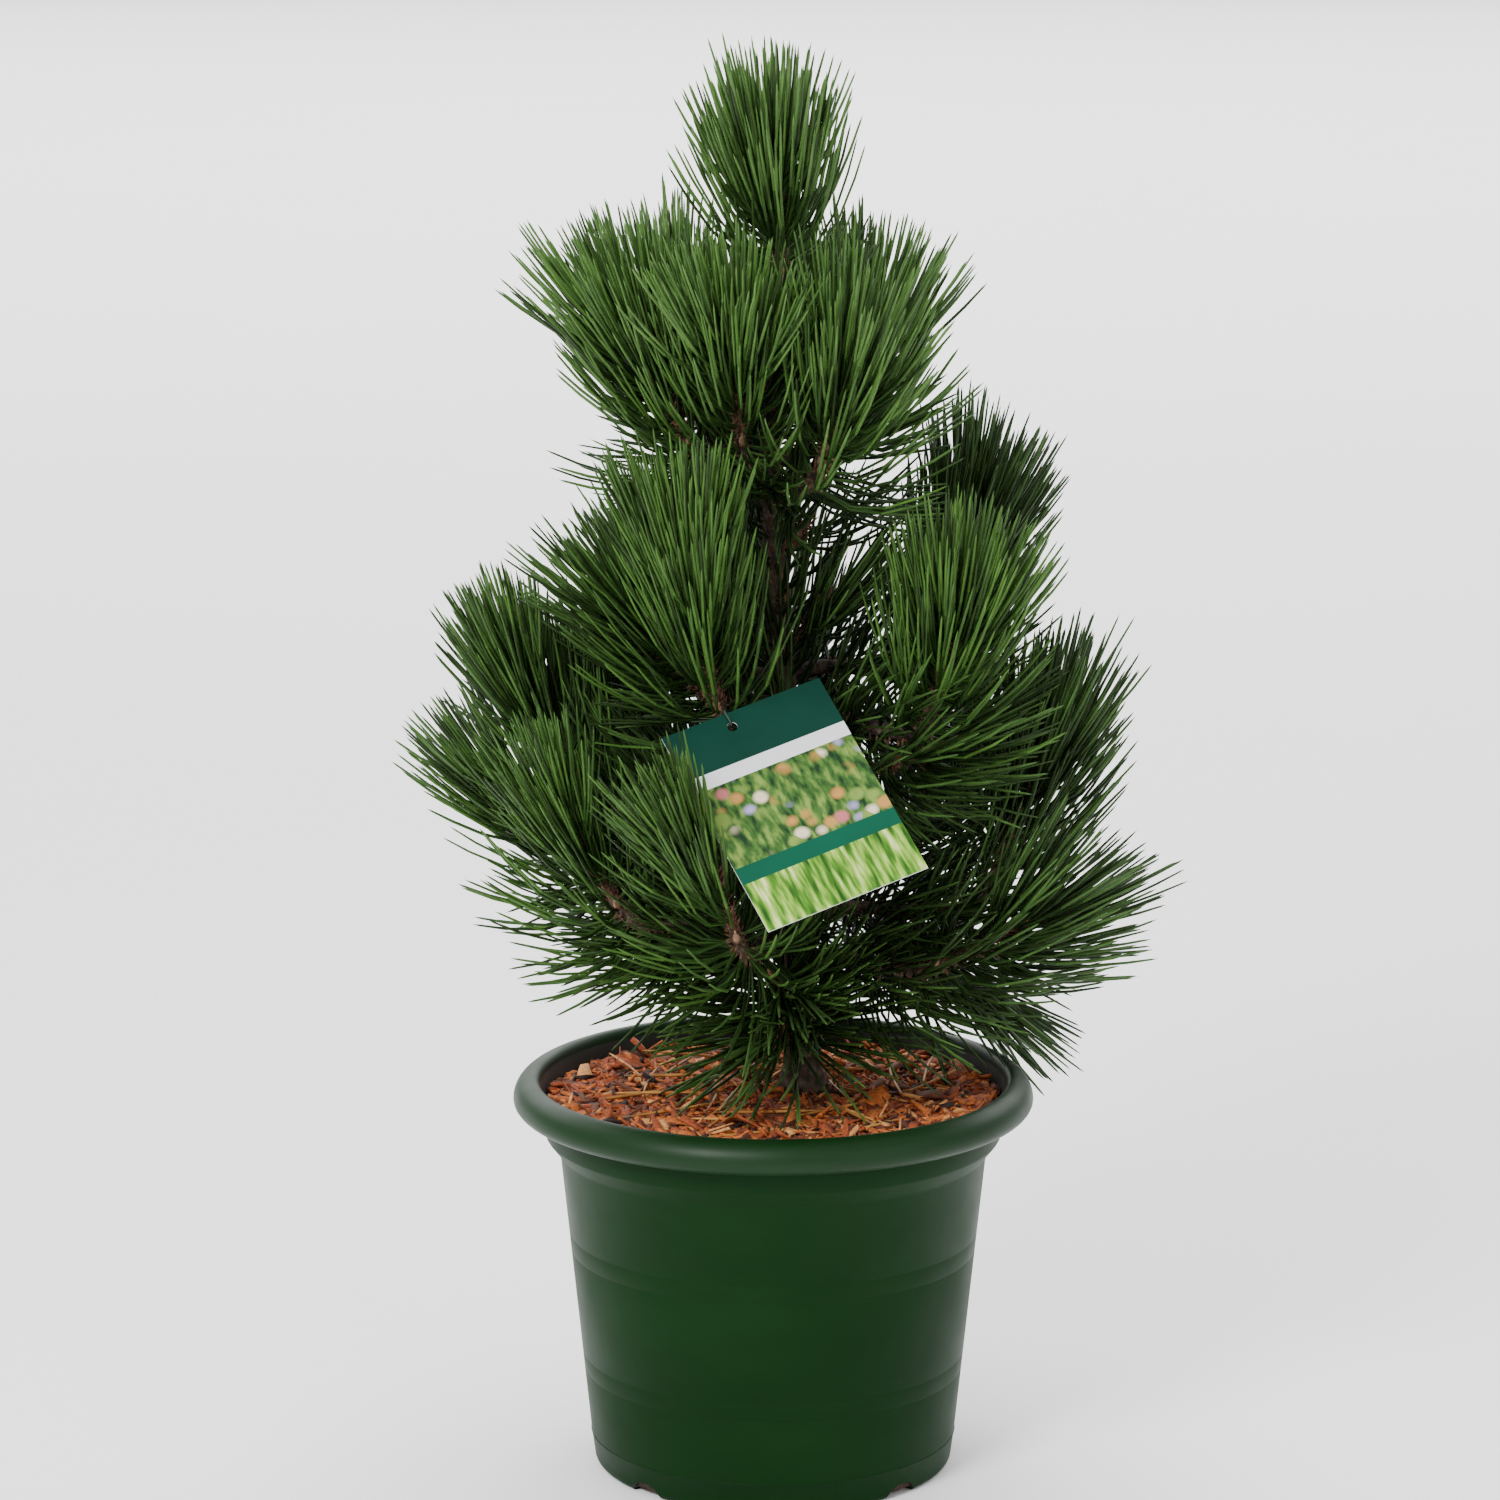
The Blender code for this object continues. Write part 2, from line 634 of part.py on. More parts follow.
def make_mass(shoot, twigs, needles, collection, material):
    """One mass of needles: stem, bud, side twigs and needles in one body."""
    mass = tube(f"needles_{shoot.name}", stem_line(shoot), stem_radii(), LIMB_SIDES, collection, material)
    spray = make_collection(f"spray_{shoot.name}")
    meshes = [needle_mesh(root, end) for root, end in needles]
    meshes += [cone_mesh("twig", foot, tip, twig_radius(0), twig_radius(1)) for foot, tip in twigs]
    for mesh in meshes:
        spray.objects.link(bpy.data.objects.new("sprig", mesh))
    fuse(mass, spray)
    return mass


def make_card(collection, material):
    """Flat card with a hole near its top edge."""
    width, height = CARD_SIZE
    curve = bpy.data.curves.new("card", "CURVE")
    curve.dimensions = "2D"
    curve.fill_mode = "BOTH"
    curve.extrude = CARD_THICKNESS / 2
    signs = ((-1, -1), (1, -1), (1, 1), (-1, 1))
    corners = [(x * width / 2, y * height / 2) for x, y in signs]
    hole_middle = (CARD_HOLE_ASIDE, height / 2 - CARD_HOLE_DROP)
    hole = arc(hole_middle, CARD_HOLE_RADIUS, CARD_HOLE_RADIUS, 0, 324, 10)
    for outline in (corners, hole):
        spline = curve.splines.new("POLY")
        spline.points.add(len(outline) - 1)
        for spot, (x, y) in zip(spline.points, outline):
            spot.co = (x, y, 0, 1)
        spline.use_cyclic_u = True
    curve.materials.append(material)
    guide = bpy.data.objects.new("card_outline", curve)
    collection.objects.link(guide)
    mesh = bpy.data.meshes.new_from_object(guide.evaluated_get(bpy.context.evaluated_depsgraph_get()))
    bpy.data.objects.remove(guide, do_unlink=True)
    shape = bmesh.new()
    shape.from_mesh(mesh)
    bmesh.ops.remove_doubles(shape, verts=shape.verts, dist=WELD)
    bmesh.ops.recalc_face_normals(shape, faces=shape.faces)
    shape.to_mesh(mesh)
    shape.free()
    card = bpy.data.objects.new("plant_card", mesh)
    card.matrix_world = card_matrix()
    collection.objects.link(card)
    return card


def card_matrix():
    across_card = CARD_ACROSS.normalized()
    face = across_card.cross(CARD_UP).normalized()
    up_card = face.cross(across_card)
    turn = Matrix((across_card, up_card, face)).transposed().to_4x4()
    return Matrix.Translation(CARD_CENTRE) @ turn


def tie_line():
    """Closed line through the card's hole and round the bough above it."""
    card = card_matrix()
    hole_up = CARD_SIZE[1] / 2 - CARD_HOLE_DROP
    shoot = MIDDLE_WHORL[0]
    line = bough_line(shoot)
    place = TIE_PLACE_ON_BOUGH * (len(line) - 1)
    step = int(place)
    on_bough = line[step].lerp(line[step + 1], place - step)
    bough_radius = BOUGH_ROOT_RADIUS + (BOUGH_TIP_RADIUS - BOUGH_ROOT_RADIUS) * TIE_PLACE_ON_BOUGH
    way = (line[step + 1] - line[step]).normalized()
    hole_top = hole_up + CARD_HOLE_RADIUS - TIE_RADIUS - GAP
    aside = CARD_HOLE_ASIDE
    hole = card @ Vector((aside, hole_top, 0))
    front = card @ Vector((aside, hole_up + CARD_HOLE_RADIUS, CARD_THICKNESS / 2 + TIE_RADIUS + GAP * 2))
    over = card @ Vector((aside, CARD_SIZE[1] / 2 + TIE_RADIUS + GAP, CARD_THICKNESS / 2 + TIE_RADIUS))
    to_hole = hole - on_bough
    to_hole = (to_hole - way * to_hole.dot(way)).normalized()
    beside = way.cross(to_hole)
    if beside.dot(card.to_3x3() @ Vector((0, 0, 1))) < 0:
        beside = -beside
    ring = bough_radius + TIE_RADIUS + GAP
    turns = np.radians(np.linspace(*TIE_TURNS))
    round_bough = [on_bough + (to_hole * math.cos(t) + beside * math.sin(t)) * ring for t in turns]
    behind = card @ Vector((aside, hole_top, -CARD_THICKNESS / 2 - TIE_BEHIND))
    return [hole, front, over] + round_bough + [behind]


def make_tie(collection, material):
    points = tie_line()
    curve = bpy.data.curves.new("tie", "CURVE")
    curve.dimensions = "3D"
    curve.bevel_depth = TIE_RADIUS
    curve.bevel_resolution = 1
    spline = curve.splines.new("POLY")
    spline.points.add(len(points) - 1)
    for spot, point in zip(spline.points, points):
        spot.co = (*point, 1.0)
    spline.use_cyclic_u = True
    curve.materials.append(material)
    guide = bpy.data.objects.new("tie_line", curve)
    collection.objects.link(guide)
    mesh = bpy.data.meshes.new_from_object(guide.evaluated_get(bpy.context.evaluated_depsgraph_get()))
    bpy.data.objects.remove(guide, do_unlink=True)
    tie = bpy.data.objects.new("card_tie", mesh)
    collection.objects.link(tie)
    return tie


def main():
    clear_scene()
    plant = make_collection("potted_bosnian_pine")
    cutters = make_collection("cutters")
    green_plastic = make_material("green_plastic", (0.012, 0.062, 0.022), 0.38)
    mulch = make_material("bark_mulch", (0.24, 0.075, 0.025), 0.95)
    bark = make_material("bark", (0.07, 0.045, 0.03), 0.9)
    foliage = make_material("pine_needles", (0.03, 0.1, 0.025), 0.5)
    printed_card = make_material("printed_card", (0.05, 0.25, 0.15), 0.35)

    make_pot(plant, cutters, green_plastic)
    make_root_ball(plant, mulch)
    trunk_points = [(p.x, p.y, p.height) for p in TRUNK]
    trunk_radii = [p.radius for p in TRUNK]
    tube("trunk", trunk_points, trunk_radii, TRUNK_SIDES, plant, bark)
    make_card(plant, printed_card)
    make_tie(plant, green_plastic)

    occupied = Occupied()
    occupied.add_line(trunk_points, trunk_radii, "trunk")
    occupied.add_line(tie_line(), [TIE_RADIUS] * len(tie_line()), "card_tie")
    stems = []
    for shoot in SHOOTS:
        if shoot.out:
            line = bough_line(shoot)
            radii = list(np.linspace(BOUGH_ROOT_RADIUS, BOUGH_TIP_RADIUS, len(line)))
            tube(f"bough_{shoot.name}", line, radii, LIMB_SIDES, plant, bark)
            occupied.add_line(line, radii, f"bough_{shoot.name}")
        stem = stem_line(shoot)
        stems.append((tuple(stem[0]), tuple(stem[-1])))
        occupied.add_line(stem, stem_radii(), shoot.name)
    stems = np.array(stems)
    twigs = [grow_twigs(shoot, occupied) for shoot in SHOOTS]
    for index, shoot in enumerate(SHOOTS):
        needles = grow_needles(index, shoot, twigs[index], occupied, stems)
        make_mass(shoot, twigs[index], needles, plant, foliage)


main()
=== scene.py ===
# %% [markdown]
# A young bosnian pine in its pot.
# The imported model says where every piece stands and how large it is. This lesson
# gives those pieces their looks: a moulded pot, bark mulch, a trunk and boughs with
# bark on them, thousands of needles, and a plant card. It is read cell by cell.

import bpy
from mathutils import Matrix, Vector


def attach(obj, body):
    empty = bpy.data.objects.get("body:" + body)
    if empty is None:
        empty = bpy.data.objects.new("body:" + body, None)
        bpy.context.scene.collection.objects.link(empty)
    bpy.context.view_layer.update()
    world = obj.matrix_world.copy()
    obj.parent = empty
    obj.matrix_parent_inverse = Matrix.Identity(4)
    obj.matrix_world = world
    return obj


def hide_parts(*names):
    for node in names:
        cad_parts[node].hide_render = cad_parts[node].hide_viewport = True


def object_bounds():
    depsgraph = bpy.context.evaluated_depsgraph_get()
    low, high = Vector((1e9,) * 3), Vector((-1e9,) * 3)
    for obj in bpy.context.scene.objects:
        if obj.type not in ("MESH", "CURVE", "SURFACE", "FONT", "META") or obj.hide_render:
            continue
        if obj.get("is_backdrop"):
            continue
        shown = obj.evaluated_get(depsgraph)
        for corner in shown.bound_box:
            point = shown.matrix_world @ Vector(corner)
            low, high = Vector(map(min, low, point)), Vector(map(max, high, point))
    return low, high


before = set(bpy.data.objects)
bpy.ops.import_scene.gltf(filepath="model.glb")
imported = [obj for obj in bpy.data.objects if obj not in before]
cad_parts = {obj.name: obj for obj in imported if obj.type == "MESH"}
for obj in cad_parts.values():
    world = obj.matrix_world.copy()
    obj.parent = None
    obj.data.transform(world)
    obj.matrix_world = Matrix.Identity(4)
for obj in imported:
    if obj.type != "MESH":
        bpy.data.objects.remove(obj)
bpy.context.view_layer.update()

# %% Modules
from collections import namedtuple
import math
import random

import bmesh
import bpy
import numpy as np
from mathutils import Matrix, Vector

MM = 0.001

# %% [markdown]
# Operators act on whatever is selected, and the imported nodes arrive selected. So
# each step starts by deselecting all, and a new piece gets its place put into its
# mesh at once, which leaves every object at the origin.

# %% Small helpers for working by hand
def deselect_all():
    if bpy.context.mode != "OBJECT":
        bpy.ops.object.mode_set(mode="OBJECT")
    bpy.ops.object.select_all(action="DESELECT")


def work_on(piece):
    deselect_all()
    piece.select_set(True)
    bpy.context.view_layer.objects.active = piece


def take_new(name):
    """Name the primitive that was just added, and put its place into its mesh."""
    piece = bpy.context.object
    piece.name = name
    piece.data.name = name
    bpy.ops.object.transform_apply(location=True, rotation=True, scale=True)
    return piece


def cut_lengthwise(piece, longer_than, cuts):
    """Cut each edge that runs on along X for longer than this, which gives rings."""
    work_on(piece)
    bpy.ops.object.mode_set(mode="EDIT")
    bpy.ops.mesh.select_mode(type="EDGE")
    bpy.ops.mesh.select_all(action="DESELECT")
    shape = bmesh.from_edit_mesh(piece.data)
    for edge in shape.edges:
        edge.select_set(abs((edge.verts[0].co - edge.verts[1].co).x) > longer_than)
    bmesh.update_edit_mesh(piece.data)
    bpy.ops.mesh.subdivide(number_cuts=cuts)
    bpy.ops.mesh.select_mode(type="VERT")
    bpy.ops.object.mode_set(mode="OBJECT")


def apply_modifiers(piece):
    work_on(piece)
    for modifier in list(piece.modifiers):
        bpy.ops.object.modifier_apply(modifier=modifier.name)


def hand_over(piece, slot, *nodes):
    """A finished piece rides on the body and stands for its nodes. The slot is not used."""
    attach(piece, "root")
    if nodes:
        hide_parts(*nodes)
    print(piece.name, "has", len(piece.data.polygons), "faces")


deselect_all()

# %% [markdown]
# The camera stands where the photographer stood: 2.5 m in front, a little over the
# plant's top, looking down by 11 degrees through a long lens.

# %% Camera
CAMERA_PLACE = (-0.012, -2.5, 0.8785)
CAMERA_DOWN = 11.38
CAMERA_LENS = 120.3
CAMERA_SENSOR = 36
bpy.ops.object.camera_add(location=CAMERA_PLACE, rotation=(math.radians(90 - CAMERA_DOWN), 0, 0))
camera = bpy.context.object
camera.data.lens = CAMERA_LENS
camera.data.sensor_width = CAMERA_SENSOR
bpy.context.scene.camera = camera
print("camera", round(math.dist(CAMERA_PLACE, (0, 0, 0.4)), 2), "m from the plant")

# %% [markdown]
# The photo was taken in a white studio with a large soft light at the upper left.
# A pale floor and a pale world give the same calm setting, one big area light makes
# the soft shine on the rim, and a weaker one fills the other side. A very large panel
# over the floor far behind the plant makes the ground of the picture nearly white.

# %% Floor and light
FLOOR_SIZE = 44
bpy.ops.mesh.primitive_plane_add(size=FLOOR_SIZE, location=(0, 0, 0))
floor = take_new("studio_floor")
floor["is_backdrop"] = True
deselect_all()

AreaLight = namedtuple("AreaLight", "name place aim size power")
LIGHTS = (
    AreaLight("key", (-1.1, -1.8, 1.8), (0, 0, 0.4), 0.8, 74),
    AreaLight("fill", (1.9, -1.7, 1.2), (0, 0, 0.4), 1.4, 11),
    AreaLight("top", (0.1, 0.4, 2.4), (0, 0, 0.3), 1.0, 30),
    AreaLight("far_panel", (0, 9, 4), (0, 9, 0), 14, 1900),
)
for light in LIGHTS:
    bpy.ops.object.light_add(type="AREA", location=light.place)
    lamp = bpy.context.object
    lamp.name = light.name
    lamp.data.energy = light.power
    lamp.data.size = light.size
    way = Vector(light.aim) - Vector(light.place)
    lamp.rotation_euler = way.to_track_quat("-Z", "Y").to_euler()

WORLD_COLOUR = (1.0, 1.0, 1.0, 1.0)
WORLD_STRENGTH = 0.85
world = bpy.data.worlds.new("studio")
world.use_nodes = True
world.node_tree.nodes["Background"].inputs["Color"].default_value = WORLD_COLOUR
world.node_tree.nodes["Background"].inputs["Strength"].default_value = WORLD_STRENGTH
bpy.context.scene.world = world

# %% [markdown]
# Every finish is a Principled shader with patterns on Object coordinates, because
# those stay with the piece. A small class keeps one node tree at hand, so that each
# finish below reads as a few plain steps.

# %% A finish and its patterns
class Finish:
    """A material in the making."""

    def __init__(self, name, colour, roughness):
        self.material = bpy.data.materials.new(name)
        self.material.use_nodes = True
        self.nodes = self.material.node_tree.nodes
        self.links = self.material.node_tree.links
        self.shader = self.nodes["Principled BSDF"]
        self.shader.inputs["Base Color"].default_value = (*colour, 1)
        self.shader.inputs["Roughness"].default_value = roughness
        self.place = self.nodes.new("ShaderNodeTexCoord").outputs["Object"]

    def turn_to(self, matrix):
        """From here on, patterns lie in a piece's own turned frame."""
        mapping = self.nodes.new("ShaderNodeMapping")
        mapping.vector_type = "TEXTURE"
        mapping.inputs["Location"].default_value = matrix.to_translation()
        mapping.inputs["Rotation"].default_value = matrix.to_euler()
        self.links.new(self.place, mapping.inputs["Vector"])
        self.place = mapping.outputs["Vector"]

    def stretched(self, scale):
        mapping = self.nodes.new("ShaderNodeMapping")
        mapping.inputs["Scale"].default_value = scale
        self.links.new(self.place, mapping.inputs["Vector"])
        return mapping.outputs["Vector"]

    def noise(self, scale, detail=3, stretch=(1, 1, 1)):
        node = self.nodes.new("ShaderNodeTexNoise")
        node.inputs["Scale"].default_value = scale
        node.inputs["Detail"].default_value = detail
        self.links.new(self.stretched(stretch), node.inputs["Vector"])
        return node.outputs["Fac"]

    def spots(self, scale, stretch=(1, 1, 1)):
        """A number for each spot of an uneven pattern, and the distance from its middle."""
        node = self.nodes.new("ShaderNodeTexVoronoi")
        node.inputs["Scale"].default_value = scale
        self.links.new(self.stretched(stretch), node.inputs["Vector"])
        split = self.nodes.new("ShaderNodeSeparateColor")
        self.links.new(node.outputs["Color"], split.inputs["Color"])
        return split.outputs["Red"], node.outputs["Distance"]

    def ramp(self, value, stops, hard=False):
        node = self.nodes.new("ShaderNodeValToRGB")
        band = node.color_ramp
        band.interpolation = "CONSTANT" if hard else "LINEAR"
        while len(band.elements) < len(stops):
            band.elements.new(0.5)
        for element, (place, colour) in zip(band.elements, stops):
            element.position = place
            element.color = (*colour, 1)
        self.links.new(value, node.inputs["Fac"])
        return node.outputs["Color"]

    def mix(self, factor, one, other):
        node = self.nodes.new("ShaderNodeMix")
        node.data_type = "RGBA"
        self.links.new(factor, node.inputs["Factor"])
        self.links.new(one, node.inputs[6])
        self.links.new(other, node.inputs[7])
        return node.outputs[2]

    def range(self, value, low, high):
        node = self.nodes.new("ShaderNodeMapRange")
        node.inputs["To Min"].default_value = low
        node.inputs["To Max"].default_value = high
        self.links.new(value, node.inputs["Value"])
        return node.outputs["Result"]

    def colour(self, output):
        self.links.new(output, self.shader.inputs["Base Color"])

    def shine(self, level):
        self.shader.inputs["Specular IOR Level"].default_value = level

    def roughness(self, output):
        self.links.new(output, self.shader.inputs["Roughness"])

    def bump(self, height, depth, strength=1):
        node = self.nodes.new("ShaderNodeBump")
        node.inputs["Distance"].default_value = depth
        node.inputs["Strength"].default_value = strength
        self.links.new(height, node.inputs["Height"])
        self.links.new(node.outputs["Normal"], self.shader.inputs["Normal"])


def tint(colour, share):
    """The same hue, darker below a share of 1 and lighter above it."""
    return tuple(value * share for value in colour)


# %% [markdown]
# The pot on the real object is injection-moulded plastic: a tapering wall with two
# faint pairs of grooves, a stepped neck and a thick rolled rim. A turned shape is drawn
# once as half a section and spun, which is how its mould was cut as well. The
# section runs from the middle of the floor up the inside, over the rim and down.

# %% Sizes of the pot
POT_HEIGHT = 205 * MM
POT_WALL = 2.4 * MM
BASE_RADIUS = 93 * MM
WALL_TOP_RADIUS = 110 * MM
WALL_TOP_HEIGHT = 165.5 * MM
NECK_RADIUS = 117.5 * MM
NECK_HEIGHT = 174.5 * MM
RIM_RADIUS = 134 * MM
RIM_HEIGHT = 194 * MM
RIM_CREST_RADIUS = 123.5 * MM
RIM_UNDERSIDE = 187 * MM
MOUTH_RADIUS = 120 * MM
MOUTH_HEIGHT = 200 * MM
GROOVE_HEIGHTS = (50.5 * MM, 59.5 * MM, 114 * MM, 123.5 * MM)
GROOVE_WIDTH = 1.5 * MM
GROOVE_DEPTH = 0.16 * MM
MOULD_LINE_HEIGHT = 16 * MM
MOULD_LINE_DEPTH = 0.3 * MM
EDGE_ROUNDING = 0.4 * MM
FOOT_ROUND = 4 * MM
FLOOR_CORNER = 2 * MM
MID_WALL_HEIGHT = 80 * MM
SPIN_STEPS = 144


def arc(centre, wide, tall, start, end, steps):
    """Points on an ellipse in the section's plane, from one angle to another."""
    turns = np.radians(np.linspace(start, end, steps))
    return [(centre[0] + wide * math.cos(t), centre[1] + tall * math.sin(t)) for t in turns]


def pot_inner_radius(height):
    """Inner radius of the straight wall, of the neck above it and of the flare to the mouth."""
    outside = [BASE_RADIUS, WALL_TOP_RADIUS, NECK_RADIUS, NECK_RADIUS]
    inside = [radius - POT_WALL for radius in outside] + [MOUTH_RADIUS]
    heights = [0, WALL_TOP_HEIGHT, NECK_HEIGHT, RIM_UNDERSIDE, MOUTH_HEIGHT]
    return float(np.interp(height, heights, inside))


def wall_radius(height):
    """Outer radius of the tapering wall."""
    return float(np.interp(height, [0, WALL_TOP_HEIGHT], [BASE_RADIUS, WALL_TOP_RADIUS]))


# %% Section of the pot
def wall_with_grooves():
    """Outer wall from its top to its base, with a shallow round groove at each height."""
    points = []
    for height in sorted(GROOVE_HEIGHTS, reverse=True):
        for share in (0.5, 0.25, 0, -0.25, -0.5):
            z = height + share * GROOVE_WIDTH
            points.append((wall_radius(z) - GROOVE_DEPTH * math.cos(math.pi * share), z))
    step = MOULD_LINE_DEPTH
    for rise, proud in ((step, 0), (0, step), (-step, 0)):
        z = MOULD_LINE_HEIGHT + rise
        points.append((wall_radius(z) + proud, z))
    return points


rim_centre = (RIM_CREST_RADIUS, RIM_HEIGHT)
lip_centre = (RIM_CREST_RADIUS, MOUTH_HEIGHT)
foot_centre = (BASE_RADIUS - FOOT_ROUND, FOOT_ROUND)
rim_reach = RIM_RADIUS - RIM_CREST_RADIUS
inside_heights = (FOOT_ROUND, MID_WALL_HEIGHT, WALL_TOP_HEIGHT, NECK_HEIGHT, RIM_UNDERSIDE)
soft = EDGE_ROUNDING
pot_section = [(0, POT_WALL), (pot_inner_radius(0) - FLOOR_CORNER, POT_WALL)]
pot_section += [(pot_inner_radius(z), z) for z in inside_heights]
pot_section += arc(lip_centre, RIM_CREST_RADIUS - MOUTH_RADIUS, POT_HEIGHT - MOUTH_HEIGHT, 180, 105, 5)
pot_section += arc(rim_centre, rim_reach, POT_HEIGHT - RIM_HEIGHT, 90, 0, 12)
pot_section += arc(rim_centre, rim_reach, RIM_HEIGHT - RIM_UNDERSIDE, -10, -85, 8)
pot_section += [(NECK_RADIUS + 3 * soft, RIM_UNDERSIDE - soft), (NECK_RADIUS, RIM_UNDERSIDE - 4.5 * soft)]
pot_section += [(NECK_RADIUS, NECK_HEIGHT + 2 * soft), (NECK_RADIUS - 2 * soft, NECK_HEIGHT - 1.5 * soft)]
pot_section += [(WALL_TOP_RADIUS + 3 * soft, WALL_TOP_HEIGHT + 4 * soft)]
pot_section += [(WALL_TOP_RADIUS, WALL_TOP_HEIGHT - soft)]
pot_section += wall_with_grooves()
pot_section += arc(foot_centre, FOOT_ROUND, FOOT_ROUND, 0, -90, 7)
pot_section += [(0, 0)]
print("the pot's section has", len(pot_section), "points")

# %% [markdown]
# A section can be drawn by hand from one point: a tiny plane is merged to a single
# point, and each extrude of it draws the next short line. Spin then turns the line
# about the axis, and the doubles on the axis are merged before the normals are set.

# %% Turn a section
def turned(name, section, steps):
    bpy.ops.mesh.primitive_plane_add(size=MM, location=(section[0][0], 0, section[0][1]))
    piece = take_new(name)
    bpy.ops.object.mode_set(mode="EDIT")
    bpy.ops.mesh.select_all(action="SELECT")
    bpy.ops.mesh.merge(type="CENTER")
    for (r0, z0), (r1, z1) in zip(section, section[1:]):
        bpy.ops.mesh.extrude_region_move(TRANSFORM_OT_translate={"value": (r1 - r0, 0, z1 - z0)})
    bpy.ops.mesh.select_all(action="SELECT")
    bpy.ops.mesh.spin(steps=steps, angle=2 * math.pi, center=(0, 0, 0), axis=(0, 0, 1))
    bpy.ops.mesh.select_all(action="SELECT")
    bpy.ops.mesh.remove_doubles(threshold=0.01 * MM)
    bpy.ops.mesh.normals_make_consistent(inside=False)
    bpy.ops.object.mode_set(mode="OBJECT")
    return piece


pot = turned("pot_shell", pot_section, SPIN_STEPS)

# %% [markdown]
# Four shallow arches in the foot let water out. Each is cut by a flattened cylinder
# that lies along the pot's radius.

# %% Drain arches
ARCH_WIDTH = 20 * MM
ARCH_HEIGHT = 7 * MM
ARCH_DEPTH = 16 * MM
ARCH_BEARINGS = (45, 135, 225, 315)
cutters = []
for bearing in ARCH_BEARINGS:
    deselect_all()
    turn = math.radians(bearing)
    bpy.ops.mesh.primitive_cylinder_add(
        vertices=32, radius=ARCH_WIDTH / 2, depth=ARCH_DEPTH,
        location=(BASE_RADIUS * math.cos(turn), BASE_RADIUS * math.sin(turn), 0),
        rotation=(0, math.pi / 2, turn),
    )
    cutter = take_new("arch_cutter")
    flatten = Matrix.Diagonal((1, 1, ARCH_HEIGHT / (ARCH_WIDTH / 2), 1))
    cutter.data.transform(flatten)
    cutters.append(cutter)
for cutter in cutters:
    cut = pot.modifiers.new("Drain arch", "BOOLEAN")
    cut.object = cutter
    cut.operation = "DIFFERENCE"
apply_modifiers(pot)
for cutter in cutters:
    bpy.data.objects.remove(cutter, do_unlink=True)
work_on(pot)
bpy.ops.object.shade_smooth_by_angle(angle=math.radians(40))

# %% [markdown]
# The plastic is a satin, dark bottle green. It isn't even: the pigment is slightly
# cloudy, handling has dulled it in patches, and the mould leaves fine rings round
# the wall. The wall is the duller part, and hands have polished the rim. The inside,
# seen over the mulch, is nearly black with soil.

# %% Green plastic
POT_GREEN = (0.0026, 0.019, 0.0034)
POT_GREEN_LIGHT = (0.004, 0.025, 0.005)
POT_INSIDE = (0.006, 0.008, 0.007)


def plastic_finish(name, shine):
    finish = Finish(name, POT_GREEN, 0.44)
    cloud = finish.noise(9, detail=4, stretch=(1, 1, 2.2))
    finish.colour(finish.ramp(cloud, ((0.35, POT_GREEN), (0.75, POT_GREEN_LIGHT))))
    finish.roughness(finish.range(finish.noise(38, detail=5), 0.36, 0.54))
    finish.bump(finish.noise(260, detail=2, stretch=(0.25, 0.25, 3)), 0.06 * MM, 0.5)
    finish.shine(shine)
    return finish.material


dull_plastic = plastic_finish("green_plastic_wall", 0.055)
rim_plastic = plastic_finish("green_plastic_rim", 0.18)
soiled = Finish("soiled_plastic", POT_INSIDE, 0.55)
soiled.colour(soiled.ramp(soiled.noise(30), ((0.4, POT_INSIDE), (0.8, (0.02, 0.02, 0.016)))))
soiled.bump(soiled.noise(300), 0.1 * MM, 0.6)
for material in (dull_plastic, soiled.material, rim_plastic):
    pot.data.materials.append(material)
SOILED_SLOT, RIM_SLOT = 1, 2
CLEAN_FROM = POT_HEIGHT - 7 * MM
FLOOR_REACH = BASE_RADIUS * 0.8
for face in pot.data.polygons:
    middle = face.center
    out = Vector((middle.x, middle.y, 0))
    looks_in = face.normal.dot(out) < 0 or middle.z > POT_WALL / 2 and out.length < FLOOR_REACH
    if looks_in and MM < middle.z < CLEAN_FROM:
        face.material_index = SOILED_SLOT
    elif middle.z > RIM_UNDERSIDE:
        face.material_index = RIM_SLOT
hand_over(pot, "pot", "pot")

# %% [markdown]
# Under the plant lies peat, and on it a layer of shredded bark. The bed is turned
# like the pot, and a displacement roughens its top. The shreds come next.

# %% Bed of peat
MULCH_EDGE_HEIGHT = 194 * MM
MULCH_CROWN_HEIGHT = 197 * MM
MULCH_CROWN_RADIUS = 22 * MM
MULCH_FALL_POWER = 1.6
GAP = 0.3 * MM


def mulch_height(radius):
    """Height of the mulch, which falls in a soft curve from a flat crown to the wall."""
    edge = pot_inner_radius(MULCH_EDGE_HEIGHT) - GAP
    share = np.clip((radius - MULCH_CROWN_RADIUS) / (edge - MULCH_CROWN_RADIUS), 0, 1)
    return MULCH_CROWN_HEIGHT - (MULCH_CROWN_HEIGHT - MULCH_EDGE_HEIGHT) * share ** MULCH_FALL_POWER


BED_DROP = 3 * MM
LUMP_SIZE = 7 * MM
LUMP_DEPTH = 4 * MM
BED_TOP_FROM = 180 * MM
BED_RINGS = 40
BED_SPIN_STEPS = 120
bed_edge = pot_inner_radius(MULCH_EDGE_HEIGHT) - GAP
bed_floor = POT_WALL + GAP
bed_section = [(r, float(mulch_height(r)) - BED_DROP) for r in np.linspace(0, bed_edge, BED_RINGS)]
bed_sides = (RIM_UNDERSIDE, NECK_HEIGHT, WALL_TOP_HEIGHT, bed_floor)
bed_section += [(pot_inner_radius(z) - GAP, z) for z in bed_sides]
bed_section += [(0, bed_floor)]
deselect_all()
bed = turned("peat_bed", bed_section, BED_SPIN_STEPS)
lumps = bpy.data.textures.new("peat_lumps", "CLOUDS")
lumps.noise_scale = LUMP_SIZE
